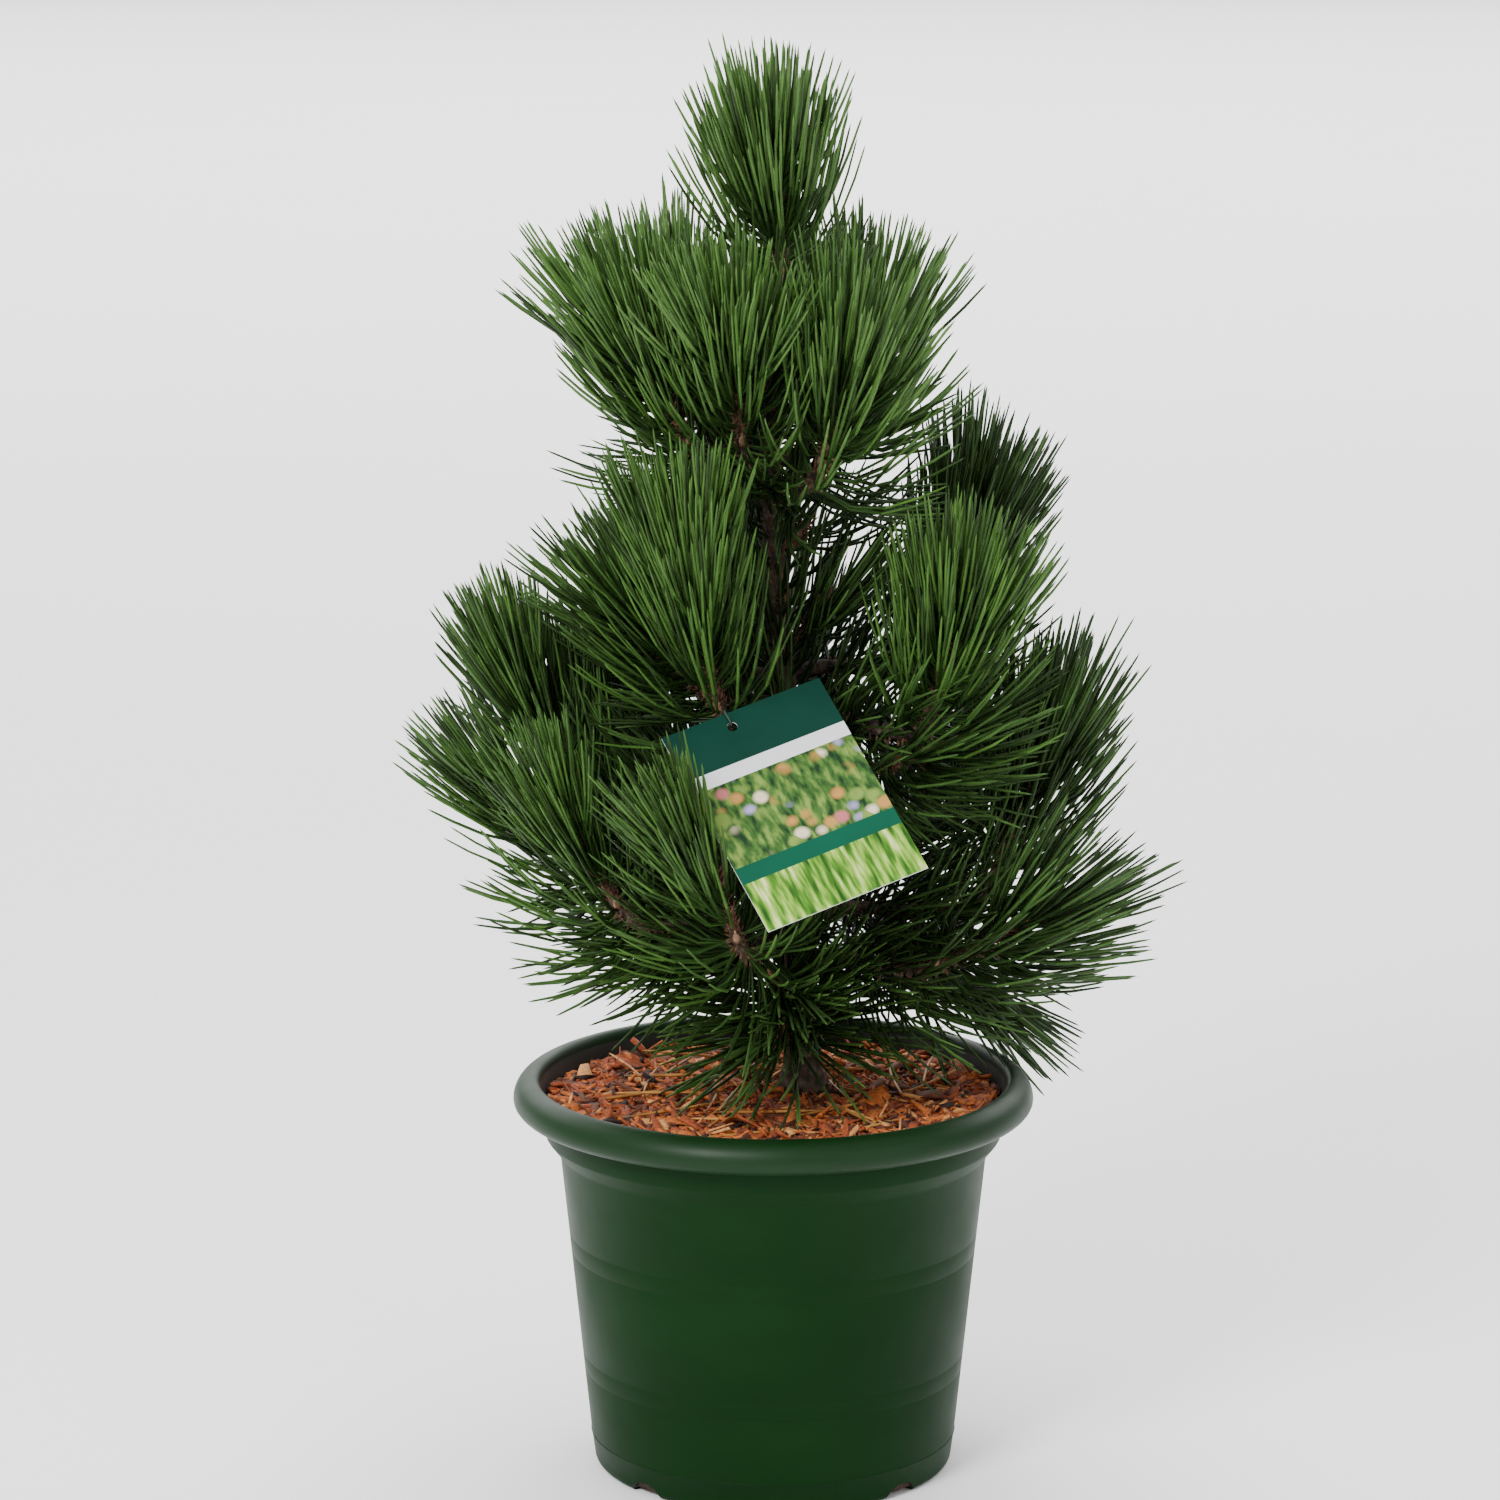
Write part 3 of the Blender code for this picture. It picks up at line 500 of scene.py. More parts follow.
on_top = bed.vertex_groups.new(name="top")
for vert in bed.data.vertices:
    if vert.co.z > BED_TOP_FROM and vert.co.xy.length < bed_edge - MM:
        on_top.add([vert.index], 1, "REPLACE")
rough = bed.modifiers.new("Lumps", "DISPLACE")
rough.texture = lumps
rough.texture_coords = "LOCAL"
rough.direction = "Z"
rough.strength = LUMP_DEPTH
rough.vertex_group = "top"
apply_modifiers(bed)
bpy.ops.object.shade_smooth()
peat = Finish("dark_peat", (0.03, 0.014, 0.008), 0.95)
grain = peat.noise(420, detail=5)
peat.colour(peat.ramp(grain, ((0.35, (0.012, 0.007, 0.005)), (0.7, (0.075, 0.03, 0.014)))))
peat.bump(grain, 0.8 * MM)
bed.data.materials.append(peat.material)
hand_over(bed, "mulch", "root_ball")

# %% [markdown]
# A shred of bark is a thin, torn splinter. Five are modelled: a flake, a long
# splinter, a broad chip, which is rare, a crumb and a fibre. Each starts as a cube
# that is squashed, cut and knocked about in edit mode. Thousands of copies are then
# joined from arrays, each with its own size, turn and colour, which is far faster
# than thousands of objects. Large shreds and small ones make a piece each.

# %% Model the shreds
Shred = namedtuple("Shred", "name size cuts shake count piece")
SHREDS = (
    Shred("flake", (12 * MM, 5 * MM, 1.2 * MM), 2, 1.0 * MM, 2300, "bark_chips"),
    Shred("splinter", (18 * MM, 2.1 * MM, 1.2 * MM), 2, 0.75 * MM, 1800, "bark_chips"),
    Shred("chip", (21 * MM, 9 * MM, 1.9 * MM), 3, 1.4 * MM, 170, "bark_chips"),
    Shred("crumb", (4.4 * MM, 3.1 * MM, 1.9 * MM), 1, 0.65 * MM, 3400, "bark_fines"),
    Shred("fibre", (24 * MM, 1.1 * MM, 0.8 * MM), 2, 0.5 * MM, 900, "bark_fines"),
)
MODELS_PER_SHRED = 4
SHRED_TAPER = 0.45


def model_shred(shred, seed):
    deselect_all()
    bpy.ops.mesh.primitive_cube_add(size=1)
    piece = bpy.context.object
    piece.scale = shred.size
    piece = take_new(shred.name)
    cut_lengthwise(piece, shred.size[0] / 2, shred.cuts)
    bpy.ops.object.mode_set(mode="EDIT")
    bpy.ops.mesh.select_all(action="SELECT")
    bpy.ops.transform.vertex_random(offset=shred.shake, uniform=0.4, normal=0, seed=seed)
    bpy.ops.object.mode_set(mode="OBJECT")
    for vert in piece.data.vertices:
        ends = abs(vert.co.x) / (shred.size[0] / 2)
        vert.co.y *= 1 - SHRED_TAPER * min(ends, 1) ** 2
    return piece


shred_models = []
for shred in SHREDS:
    for seed in range(1, MODELS_PER_SHRED + 1):
        shred_models.append((shred, model_shred(shred, seed)))

# %% Join copies of a model
def mesh_arrays(mesh):
    """Points of a mesh, its faces as lists of point numbers."""
    points = np.empty(len(mesh.vertices) * 3)
    mesh.vertices.foreach_get("co", points)
    return points.reshape(-1, 3), [tuple(face.vertices) for face in mesh.polygons]


def mesh_from_arrays(name, points, corners, face_starts, face_tones, materials):
    """One mesh from flat arrays: points, corner numbers, where faces start, and tones."""
    mesh = bpy.data.meshes.new(name)
    mesh.vertices.add(len(points))
    mesh.vertices.foreach_set("co", np.asarray(points, np.float32).ravel())
    mesh.loops.add(len(corners))
    mesh.loops.foreach_set("vertex_index", np.asarray(corners, np.int32))
    mesh.polygons.add(len(face_starts))
    mesh.polygons.foreach_set("loop_start", np.asarray(face_starts, np.int32))
    for material in materials:
        mesh.materials.append(material)
    mesh.polygons.foreach_set("material_index", np.asarray(face_tones, np.int32))
    mesh.update(calc_edges=True)
    mesh.validate()
    return mesh


def join_copies(name, model_mesh, turns, places, tones, materials):
    """One object of many copies: each has a 3 by 3 turn with its scale, a place and a tone."""
    points, faces = mesh_arrays(model_mesh)
    count = len(places)
    placed = np.einsum("kij,nj->kni", turns, points) + places[:, None, :]
    flat = np.array([corner for face in faces for corner in face])
    sizes = np.array([len(face) for face in faces])
    corners = (flat[None, :] + (np.arange(count) * len(points))[:, None]).ravel()
    all_sizes = np.tile(sizes, count)
    starts = np.concatenate(([0], np.cumsum(all_sizes)[:-1]))
    face_tones = np.repeat(tones, len(faces))
    mesh = mesh_from_arrays(name, placed.reshape(-1, 3), corners, starts, face_tones, materials)
    piece = bpy.data.objects.new(name, mesh)
    bpy.context.scene.collection.objects.link(piece)
    return piece


def join_pieces(name, pieces):
    deselect_all()
    for piece in pieces:
        piece.select_set(True)
    bpy.context.view_layer.objects.active = pieces[0]
    bpy.ops.object.join()
    joined = bpy.context.object
    joined.name = name
    joined.data.name = name
    return joined


# %% Colours of bark
BARK_TONES = {
    "bark_orange": (0.45, 0.115, 0.019),
    "bark_rust": (0.27, 0.052, 0.011),
    "bark_brown": (0.12, 0.033, 0.012),
    "bark_straw": (0.62, 0.28, 0.09),
    "bark_dark": (0.025, 0.01, 0.006),
}
BARK_SHARES = (0.33, 0.34, 0.18, 0.05, 0.1)


def bark_shred_finish(name, colour):
    finish = Finish(name, colour, 0.85)
    fibre = finish.noise(900, detail=3, stretch=(0.4, 1, 1))
    finish.colour(finish.ramp(fibre, ((0.3, tint(colour, 0.62)), (0.7, tint(colour, 1.35)))))
    finish.bump(fibre, 0.25 * MM)
    return finish.material


shred_materials = [bark_shred_finish(name, colour) for name, colour in BARK_TONES.items()]

# %% Scatter the shreds over the bed
SHRED_SIZE_MIDDLE = 0.76
SHRED_SIZE_SPREAD = 0.36
SHRED_SIZE_RANGE = (0.4, 1.7)
SHRED_LEAN = 0.3
SHRED_FROM_EDGE = 1.5 * MM
PILE_DEPTH = 4.2 * MM
PILE_TILT = 3.5 * MM
PILE_AT_EDGE = 2.2 * MM


def random_turns(dice, heading, lean):
    """Turns about the upright by a heading, then tipped over by up to the lean."""
    count = len(heading)
    tip = dice.normal(0, lean, count)
    roll = dice.normal(0, lean, count)
    ch, sh = np.cos(heading), np.sin(heading)
    ct, st = np.cos(tip), np.sin(tip)
    cr, sr = np.cos(roll), np.sin(roll)
    zero, one = np.zeros(count), np.ones(count)
    about_z = np.stack([ch, -sh, zero, sh, ch, zero, zero, zero, one], axis=1).reshape(-1, 3, 3)
    about_y = np.stack([ct, zero, st, zero, one, zero, -st, zero, ct], axis=1).reshape(-1, 3, 3)
    about_x = np.stack([one, zero, zero, zero, cr, -sr, zero, sr, cr], axis=1).reshape(-1, 3, 3)
    return about_z @ about_y @ about_x


dice = np.random.default_rng(7)
shred_piles = {shred.piece: [] for shred in SHREDS}
for shred, model in shred_models:
    count = shred.count // MODELS_PER_SHRED
    size = np.clip(SHRED_SIZE_MIDDLE * dice.lognormal(0, SHRED_SIZE_SPREAD, count), *SHRED_SIZE_RANGE)
    bearing = dice.uniform(0, 2 * np.pi, count)
    heading = dice.uniform(0, 2 * np.pi, count)
    reach = shred.size[0] / 2 * size * np.abs(np.cos(heading - bearing))
    radius = (bed_edge - SHRED_FROM_EDGE - reach) * np.sqrt(dice.uniform(0, 1, count))
    height = mulch_height(radius) - dice.uniform(0, 1, count) * PILE_DEPTH
    height -= PILE_TILT * np.sin(bearing) * (radius / bed_edge) ** 2
    height += PILE_AT_EDGE * (radius / bed_edge) ** 6
    places = np.stack([radius * np.cos(bearing), radius * np.sin(bearing), height], axis=1)
    turns = random_turns(dice, heading, SHRED_LEAN) * size[:, None, None]
    tones = dice.choice(len(shred_materials), count, p=BARK_SHARES)
    pile = join_copies("pile", model.data, turns, places, tones, shred_materials)
    shred_piles[shred.piece].append(pile)
    bpy.data.objects.remove(model, do_unlink=True)
for name, piles in shred_piles.items():
    hand_over(join_pieces(name, piles), "mulch")

# %% [markdown]
# How the plant grows. The trunk is a line through a few heights. Boughs leave it in
# three whorls, level at first and then rising, and each carries a shoot. A shoot has
# a stem, side twigs and pairs of needles, set round it by the golden turn, as on any
# pine. These are the same rules and sizes as in the part itself, so what grows here
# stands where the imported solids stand.

# %% Trunk line
TrunkPoint = namedtuple("TrunkPoint", "height x y radius")
TRUNK = (
    TrunkPoint(MULCH_CROWN_HEIGHT + GAP, 15 * MM, 0, 13 * MM),
    TrunkPoint(203 * MM, 15 * MM, 0, 11 * MM),
    TrunkPoint(218 * MM, 14.5 * MM, 0, 9.4 * MM),
    TrunkPoint(300 * MM, 12.5 * MM, 1 * MM, 8.6 * MM),
    TrunkPoint(370 * MM, 8.5 * MM, 3 * MM, 7.2 * MM),
    TrunkPoint(430 * MM, 3 * MM, 4 * MM, 5.8 * MM),
    TrunkPoint(485 * MM, 0, 3 * MM, 5.0 * MM),
    TrunkPoint(540 * MM, -2 * MM, 2 * MM, 4.5 * MM),
    TrunkPoint(590 * MM, 2 * MM, 0, 4.0 * MM),
    TrunkPoint(618 * MM, 4.5 * MM, 0, 3.6 * MM),
)


def trunk_at(height):
    """Middle of the trunk at a height, and its radius there."""
    heights = [p.height for p in TRUNK]
    x = np.interp(height, heights, [p.x for p in TRUNK])
    y = np.interp(height, heights, [p.y for p in TRUNK])
    radius = np.interp(height, heights, [p.radius for p in TRUNK])
    return Vector((x, y, height)), float(radius)


# %% Where each shoot grows
# A bough leaves the trunk at height root, reaches out at its bearing and up above
# its root, and the shoot on its tip leans from the upright by lean towards heading.
# Lengths are millimetres and angles degrees. A shoot with no out stands on the trunk.
# Its lowest needles open by spread, and all of them turn up by rise, or down below 0.
# The tone picks the needle green: sunny holds painted light and shade painted shade.
Shoot = namedtuple("Shoot", "name root bearing out up lean heading length spread rise tone")

LEADER = Shoot("leader", 618, 0, 0, 0, 8, 180, 44, 42, 1, "high")

UPPER_WHORL = (
    Shoot("upper_left", 527, -153, 47, 12, 27, -162, 52, 46, 1, "high"),
    Shoot("upper_front", 518, -111, 41, 23, 28, -98, 46, 38, 1, "high"),
    Shoot("upper_right", 510, -59, 47, 18, 28, -56, 45, 46, 1, "high"),
    Shoot("upper_right_back", 524, 34, 45, 15, 17, 34, 40, 38, 1, "high"),
    Shoot("upper_back", 532, 84, 41, 10, 34, 81, 46, 40, 1, "high"),
    Shoot("upper_left_back", 514, 139, 42, 20, 26, 146, 52, 40, 1, "high"),
)

MIDDLE_WHORL = (
    Shoot("middle_front_left", 400, -125, 58, 8, 22, -122, 78, 32, 1.2, "sunny"),
    Shoot("middle_left", 414, -164, 42, -6, 36, -162, 46, 46, 0.9, "plain"),
    Shoot("middle_right_back", 414, 29, 82, 8, 28, 20, 58, 40, 1, "shade"),
    Shoot("middle_right", 392, -30, 84, 12, 22, -44, 44, 46, 1.3, "sunny"),
    Shoot("middle_right_low", 360, -32, 50, 10, 66, -30, 30, 50, 0.5, "shade"),
    Shoot("middle_back", 404, 98, 66, 8, 38, 112, 50, 34, 1, "plain"),
    Shoot("middle_left_back", 396, 130, 60, 4, 28, 126, 44, 38, 1, "plain"),
)

LOWER_WHORL = (
    Shoot("left_high", 332, -177, 113, 30, 30, 170, 44, 26, 1, "plain"),
    Shoot("left_high_back", 324, 153, 100, 18, 38, 146, 36, 30, 1, "shade"),
    Shoot("low_left", 302, 178, 109, 12, 45, 176, 48, 32, 0.9, "plain"),
    Shoot("low_left_front", 290, -153, 104, 18, 34, -148, 42, 22, 1, "sunny"),
    Shoot("low_front_left", 282, -111, 90, 18, 34, -116, 54, 26, 1, "sunny"),
    Shoot("low_right_high", 290, 0, 100, 19, 20, 10, 66, 47, 0.8, "shade"),
    Shoot("low_right", 266, -25, 80, 6, 61, -18, 48, 44, 0.6, "shade"),
    Shoot("low_right_back", 300, 52, 88, 14, 42, 48, 56, 42, 1, "shade"),
    Shoot("low_back", 288, 95, 84, 15, 44, 92, 58, 42, 1, "plain"),
    Shoot("low_left_back", 306, 132, 90, 14, 46, 132, 56, 42, 1, "plain"),
    Shoot("foot_right_back", 262, 24, 74, -2, 138, 22, 30, 26, -0.2, "shade"),
)

ON_TRUNK = (
    Shoot("inner_top", 478, 15, 0, 0, 34, 15, 20, 44, 0.6, "shade"),
    Shoot("inner_right", 430, -20, 0, 0, 32, -5, 24, 38, 0.6, "shade"),
    Shoot("low_front", 246, -100, 0, 0, 60, -106, 50, 58, 0.4, "plain"),
    Shoot("low_left_spray", 268, -168, 0, 0, 74, -178, 60, 36, 0.3, "plain"),
    Shoot("foot", 226, -120, 0, 0, 60, -100, 22, 78, -0.6, "plain"),
)

SHOOTS = (LEADER,) + UPPER_WHORL + MIDDLE_WHORL + LOWER_WHORL + ON_TRUNK
print(len(SHOOTS), "shoots")

# %% Lines of boughs, stems and twigs
BOUGH_ROOT_RADIUS = 3.8 * MM
BOUGH_TIP_RADIUS = 3.0 * MM
BOUGH_RISE = 18
BOUGH_LEAVE_PULL = 0.4
BOUGH_ARRIVE_PULL = 0.35
BOUGH_POINTS = 12
BOUGH_STRAIGHT_ROOT = 3 * MM
BOUGH_STRAIGHT_END = 4 * MM
STEM_RADIUS = 3.0 * MM
BUD_RADIUS = 1.6 * MM
TWIG_RADIUS = 1.8 * MM
TWIG_TAPER = 0.4
TWIG_SHARE = 0.5
TWIG_TURN_OUT = 24
FIRST_TWIG_PLACE = 0.28
TWIG_STEP = 0.22
TWIG_TURNS = (0.8, 1.2)
TWIGS_PER_STEM = 3


def direction(lean, heading):
    """Unit vector that leans from the upright towards a compass heading."""
    lean, heading = math.radians(lean), math.radians(heading)
    flat = math.sin(lean)
    return Vector((flat * math.cos(heading), flat * math.sin(heading), math.cos(lean)))


def across(way):
    """Two directions at right angles to a way and to each other."""
    side = way.cross(Vector((0, 0, 1)) if abs(way.z) < 0.9 else Vector((1, 0, 0))).normalized()
    return side, way.cross(side).normalized()


def cubic(a, b, c, d, steps):
    """Points along a cubic curve between a and d, pulled towards b and c."""
    points = []
    for t in np.linspace(0, 1, steps):
        s = 1 - t
        points.append(a * s ** 3 + b * (3 * s * s * t) + c * (3 * s * t * t) + d * t ** 3)
    return points


def bough_line(shoot):
    """Points of a bough: level off the trunk, then in a rising curve to its shoot."""
    middle, trunk_radius = trunk_at(shoot.root * MM)
    flat_way = direction(90, shoot.bearing)
    root = middle + flat_way * (trunk_radius + GAP)
    start = root + flat_way * BOUGH_STRAIGHT_ROOT
    end = middle + flat_way * (shoot.out * MM) + Vector((0, 0, shoot.up * MM))
    end_way = direction(shoot.lean, shoot.heading)
    bend_end = end - end_way * BOUGH_STRAIGHT_END
    reach = (bend_end - start).length
    leave = start + direction(90 - BOUGH_RISE, shoot.bearing) * (reach * BOUGH_LEAVE_PULL)
    arrive = bend_end - end_way * (reach * BOUGH_ARRIVE_PULL)
    return [root] + cubic(start, leave, arrive, bend_end, BOUGH_POINTS) + [end]


def stem_line(shoot):
    """Foot and bud of a shoot's stem."""
    way = direction(shoot.lean, shoot.heading)
    if shoot.out:
        foot = bough_line(shoot)[-1] + way * GAP
    elif shoot is LEADER:
        foot = trunk_at(shoot.root * MM)[0] + way * (GAP + STEM_RADIUS * math.sin(math.radians(shoot.lean)))
    else:
        middle, trunk_radius = trunk_at(shoot.root * MM)
        tilt_room = STEM_RADIUS * math.cos(math.radians(shoot.lean))
        foot = middle + direction(90, shoot.bearing) * (trunk_radius + tilt_room + GAP)
    return foot, foot + way * (shoot.length * MM)


def twig_lines(shoot):
    """Side twigs of a shoot: where each leaves the stem and where it ends."""
    dice = random.Random(shoot.name)
    foot, tip = stem_line(shoot)
    way = (tip - foot).normalized()
    side, other = across(way)
    first_turn = dice.uniform(0, 2 * math.pi)
    twigs = []
    for i in range(TWIGS_PER_STEM):
        turn = first_turn + i * math.pi * dice.uniform(*TWIG_TURNS)
        out = side * math.cos(turn) + other * math.sin(turn)
        open_by = math.radians(TWIG_TURN_OUT)
        twig_way = way * math.cos(open_by) + out * math.sin(open_by)
        start = foot.lerp(tip, FIRST_TWIG_PLACE + TWIG_STEP * i)
        twigs.append((start, start + twig_way * (shoot.length * MM * TWIG_SHARE)))
    return twigs


# %% [markdown]
# Bark. A limb is modelled straight and round first, like a broomstick, with rings
# along it. Displacement by two textures gives it plates and cracks while that is
# easy, and a Curve modifier then bends it along its own line and tapers it. One
# broomstick serves all the boughs, each bending its own copy.

# %% A straight limb with bark on it
ROUGH_SIZE = 0.4
ROUGH_DEPTH = 0.8


def straight_limb(name, sides, length, rings, relief, plate):
    """Round bar of radius 1 along X, with relief and plate size as shares of its radius."""
    deselect_all()
    bpy.ops.mesh.primitive_cylinder_add(
        vertices=sides, radius=1, depth=length, location=(length / 2, 0, 0), rotation=(0, math.pi / 2, 0)
    )
    limb = take_new(name)
    cut_lengthwise(limb, length / 2, rings)
    print(name, "has", len(limb.data.vertices) // sides, "rings")
    plates = bpy.data.textures.new(name + "_plates", "VORONOI")
    plates.noise_scale = plate
    plates.distance_metric = "DISTANCE"
    roughness = bpy.data.textures.new(name + "_rough", "CLOUDS")
    roughness.noise_scale = plate * ROUGH_SIZE
    for texture, strength in ((plates, relief), (roughness, relief * ROUGH_DEPTH)):
        push = limb.modifiers.new("Bark", "DISPLACE")
        push.texture = texture
        push.texture_coords = "LOCAL"
        push.strength = strength
        push.mid_level = 0.5
    apply_modifiers(limb)
    return limb


def bent_limb(name, straight, points, radii):
    """Copy of a straight limb, bent along a line and tapered by its radii."""
    limb = straight.copy()
    limb.data = straight.data.copy()
    limb.name = name
    bpy.context.scene.collection.objects.link(limb)
    line = bpy.data.curves.new(name + "_line", "CURVE")
    line.dimensions = "3D"
    line.use_stretch = True
    line.use_deform_bounds = True
    line.use_radius = True
    spline = line.splines.new("POLY")
    spline.points.add(len(points) - 1)
    for spot, point, radius in zip(spline.points, points, radii):
        spot.co = (*point, 1)
        spot.radius = radius
    guide = bpy.data.objects.new(name + "_line", line)
    bpy.context.scene.collection.objects.link(guide)
    bend = limb.modifiers.new("Bend", "CURVE")
    bend.object = guide
    bend.deform_axis = "POS_X"
    apply_modifiers(limb)
    bpy.data.objects.remove(guide, do_unlink=True)
    bpy.data.curves.remove(line)
    return limb


# %% Trunk
SUNK = 3 * MM
TRUNK_SAMPLES = 60
trunk_bar = straight_limb("trunk_bar", sides=28, length=36, rings=150, relief=0.22, plate=0.9)
trunk_heights = np.linspace(TRUNK[0].height, TRUNK[-1].height, TRUNK_SAMPLES)
trunk_points = [trunk_at(h)[0] for h in trunk_heights]
trunk_radii = [trunk_at(h)[1] for h in trunk_heights]
trunk = bent_limb("trunk_bark", trunk_bar, trunk_points, trunk_radii)
bpy.data.objects.remove(trunk_bar, do_unlink=True)

# %% Boughs
ROOT_SWELL = (1.25, 1.1)
bough_bar = straight_limb("bough_bar", sides=14, length=14, rings=54, relief=0.26, plate=0.8)
boughs = []
bough_nodes = []
for shoot in SHOOTS:
    if not shoot.out:
        continue
    line = bough_line(shoot)
    into_trunk = line[0] - direction(90, shoot.bearing) * SUNK
    into_stem = line[-1] + direction(shoot.lean, shoot.heading) * MM
    points = [into_trunk] + line + [into_stem]
    radii = np.linspace(BOUGH_ROOT_RADIUS, BOUGH_TIP_RADIUS, len(points))
    radii[:2] *= ROOT_SWELL
    boughs.append(bent_limb("bough", bough_bar, points, radii))
    bough_nodes.append("bough_" + shoot.name)
bough_piece = join_pieces("bough_bark", boughs)

# %% Stems and side twigs
stem_bar = straight_limb("stem_bar", sides=10, length=14, rings=30, relief=0.2, plate=0.7)
stems = []
for shoot in SHOOTS:
    foot, tip = stem_line(shoot)
    way = (tip - foot).normalized()
    line = [foot - way * MM, foot.lerp(tip, 0.5), tip]
    stems.append(bent_limb("stem", stem_bar, line, np.linspace(STEM_RADIUS, BUD_RADIUS, 3)))
    for start, end in twig_lines(shoot):
        line = [start, start.lerp(end, 0.5), end]
        radii = np.linspace(TWIG_RADIUS, TWIG_RADIUS * (1 - TWIG_TAPER), 3)
        stems.append(bent_limb("twig", stem_bar, line, radii))
stem_piece = join_pieces("stems_and_twigs", stems)
for bar in (bough_bar, stem_bar):
    bpy.data.objects.remove(bar, do_unlink=True)

# %% [markdown]
# The bark is grey-brown on the trunk and redder on the young stems, where the
# scars of old needle pairs show. Noise that is finer than the modelled plates
# carries the colour and the last of the relief.

# %% Bark finishes
def bark_finish(name, crack, middle, pale, size):
    finish = Finish(name, middle, 0.9)
    plates = finish.noise(size, detail=6, stretch=(1, 1, 0.6))
    finish.colour(finish.ramp(plates, ((0.3, crack), (0.5, middle), (0.72, pale))))
    finish.bump(finish.noise(size * 2.4, detail=6), 0.6 * MM)
    return finish.material


OLD_BARK = ((0.018, 0.012, 0.009), (0.075, 0.05, 0.034), (0.17, 0.125, 0.09))
YOUNG_BARK = ((0.03, 0.015, 0.009), (0.115, 0.058, 0.032), (0.22, 0.14, 0.085))
old_bark = bark_finish("old_bark", *OLD_BARK, size=260)
young_bark = bark_finish("young_bark", *YOUNG_BARK, size=420)
for piece, material in ((trunk, old_bark), (bough_piece, old_bark), (stem_piece, young_bark)):
    piece.data.materials.clear()
    piece.data.materials.append(material)
    work_on(piece)
    bpy.ops.object.shade_smooth()
hand_over(trunk, "bark", "trunk")
hand_over(bough_piece, "bark", *bough_nodes)
hand_over(stem_piece, "bark")

# %% [markdown]
# At the root of each needle pair a pine keeps a small pointed scale, also where the
# needles have dropped. Together they make young wood rough and red-brown. One scale is
# modelled from a cone that is cut, bulged and flattened, and its copies are set round
# the wood by the golden turn, which is the angle that pine needles keep to as well.

# %% Model one scale
SCALE_LENGTH = 4.6 * MM
SCALE_WIDTH = 2.0 * MM
SCALE_THICKNESS = 0.9 * MM
SCALE_SIDES = 5
SCALE_FOOT = 0.4
BELLY_HEIGHT = 0.45
BELLY_SWELL = (2.0, 2.2, 1)
deselect_all()
bpy.ops.mesh.primitive_cone_add(
    vertices=SCALE_SIDES, radius1=SCALE_FOOT, radius2=0, depth=1, location=(0, 0, 0.5)
)
scale_model = take_new("scale_model")
bpy.ops.object.mode_set(mode="EDIT")
bpy.ops.mesh.select_all(action="SELECT")
bpy.ops.mesh.bisect(plane_co=(0, 0, BELLY_HEIGHT), plane_no=(0, 0, 1))
bpy.ops.mesh.select_all(action="DESELECT")
shape = bmesh.from_edit_mesh(scale_model.data)
for vert in shape.verts:
    vert.select_set(BELLY_HEIGHT / 2 < vert.co.z < BELLY_HEIGHT * 2)
bmesh.update_edit_mesh(scale_model.data)
bpy.ops.transform.resize(value=BELLY_SWELL)
bpy.ops.mesh.select_all(action="SELECT")
bpy.ops.transform.resize(value=(SCALE_THICKNESS, SCALE_WIDTH, SCALE_LENGTH), center_override=(0, 0, 0))
bpy.ops.object.mode_set(mode="OBJECT")
print("one scale has", len(scale_model.data.polygons), "faces")

# %% Set scales round the wood
GOLDEN_TURN = math.radians(137.508)
SCALE_STEP = 0.5 * MM
SCALE_OPENING = math.radians(30)
SCALE_TURN_SCATTER = 0.2
SCALE_OPENING_SCATTER = 0.18
SCALE_SIZES = (0.7, 1.2)
SCALE_SEAT = 0.9
SCALY_BOUGH_FROM = 8
SCALY_TRUNK_HEIGHTS = np.arange(440, 620, 20)


def scales_on(start, end, radius, dice):
    """Places and turns of the scales on a stretch of wood."""
    way = (end - start).normalized()
    count = max(int((end - start).length / SCALE_STEP), 1)
    share = (np.arange(count) + 0.5) / count
    turn = np.arange(count) * GOLDEN_TURN + dice.normal(0, SCALE_TURN_SCATTER, count)
    turn += dice.uniform(0, 2 * np.pi)
    side, other = (np.array(v) for v in across(way))
    out = np.cos(turn)[:, None] * side + np.sin(turn)[:, None] * other
    opening = SCALE_OPENING + dice.normal(0, SCALE_OPENING_SCATTER, count)[:, None]
    along = np.cos(opening) * np.array(way) + np.sin(opening) * out
    thick = np.cos(opening) * out - np.sin(opening) * np.array(way)
    size = dice.uniform(*SCALE_SIZES, count)[:, None, None]
    turns = np.stack([thick, np.cross(along, thick), along], axis=2) * size
    places = np.array(start) + share[:, None] * np.array(end - start) + out * radius * SCALE_SEAT
    return places, turns


dice = np.random.default_rng(11)
scaly = []
for shoot in SHOOTS:
    foot, tip = stem_line(shoot)
    middle = foot.lerp(tip, 0.5)
    scaly.append(scales_on(foot, middle, STEM_RADIUS * SCALE_SEAT, dice))
    scaly.append(scales_on(middle, tip, (STEM_RADIUS + BUD_RADIUS) / 2, dice))
    if shoot.out:
        line = bough_line(shoot)[SCALY_BOUGH_FROM:]
        scaly += [scales_on(a, b, BOUGH_TIP_RADIUS, dice) for a, b in zip(line, line[1:])]
for low, high in zip(SCALY_TRUNK_HEIGHTS, SCALY_TRUNK_HEIGHTS[1:]):
    low_point, trunk_radius = trunk_at(low * MM)
    scaly.append(scales_on(low_point, trunk_at(high * MM)[0], trunk_radius, dice))
scale_places = np.concatenate([places for places, _ in scaly])
scale_turns = np.concatenate([turns for _, turns in scaly])
print(len(scale_places), "scales")

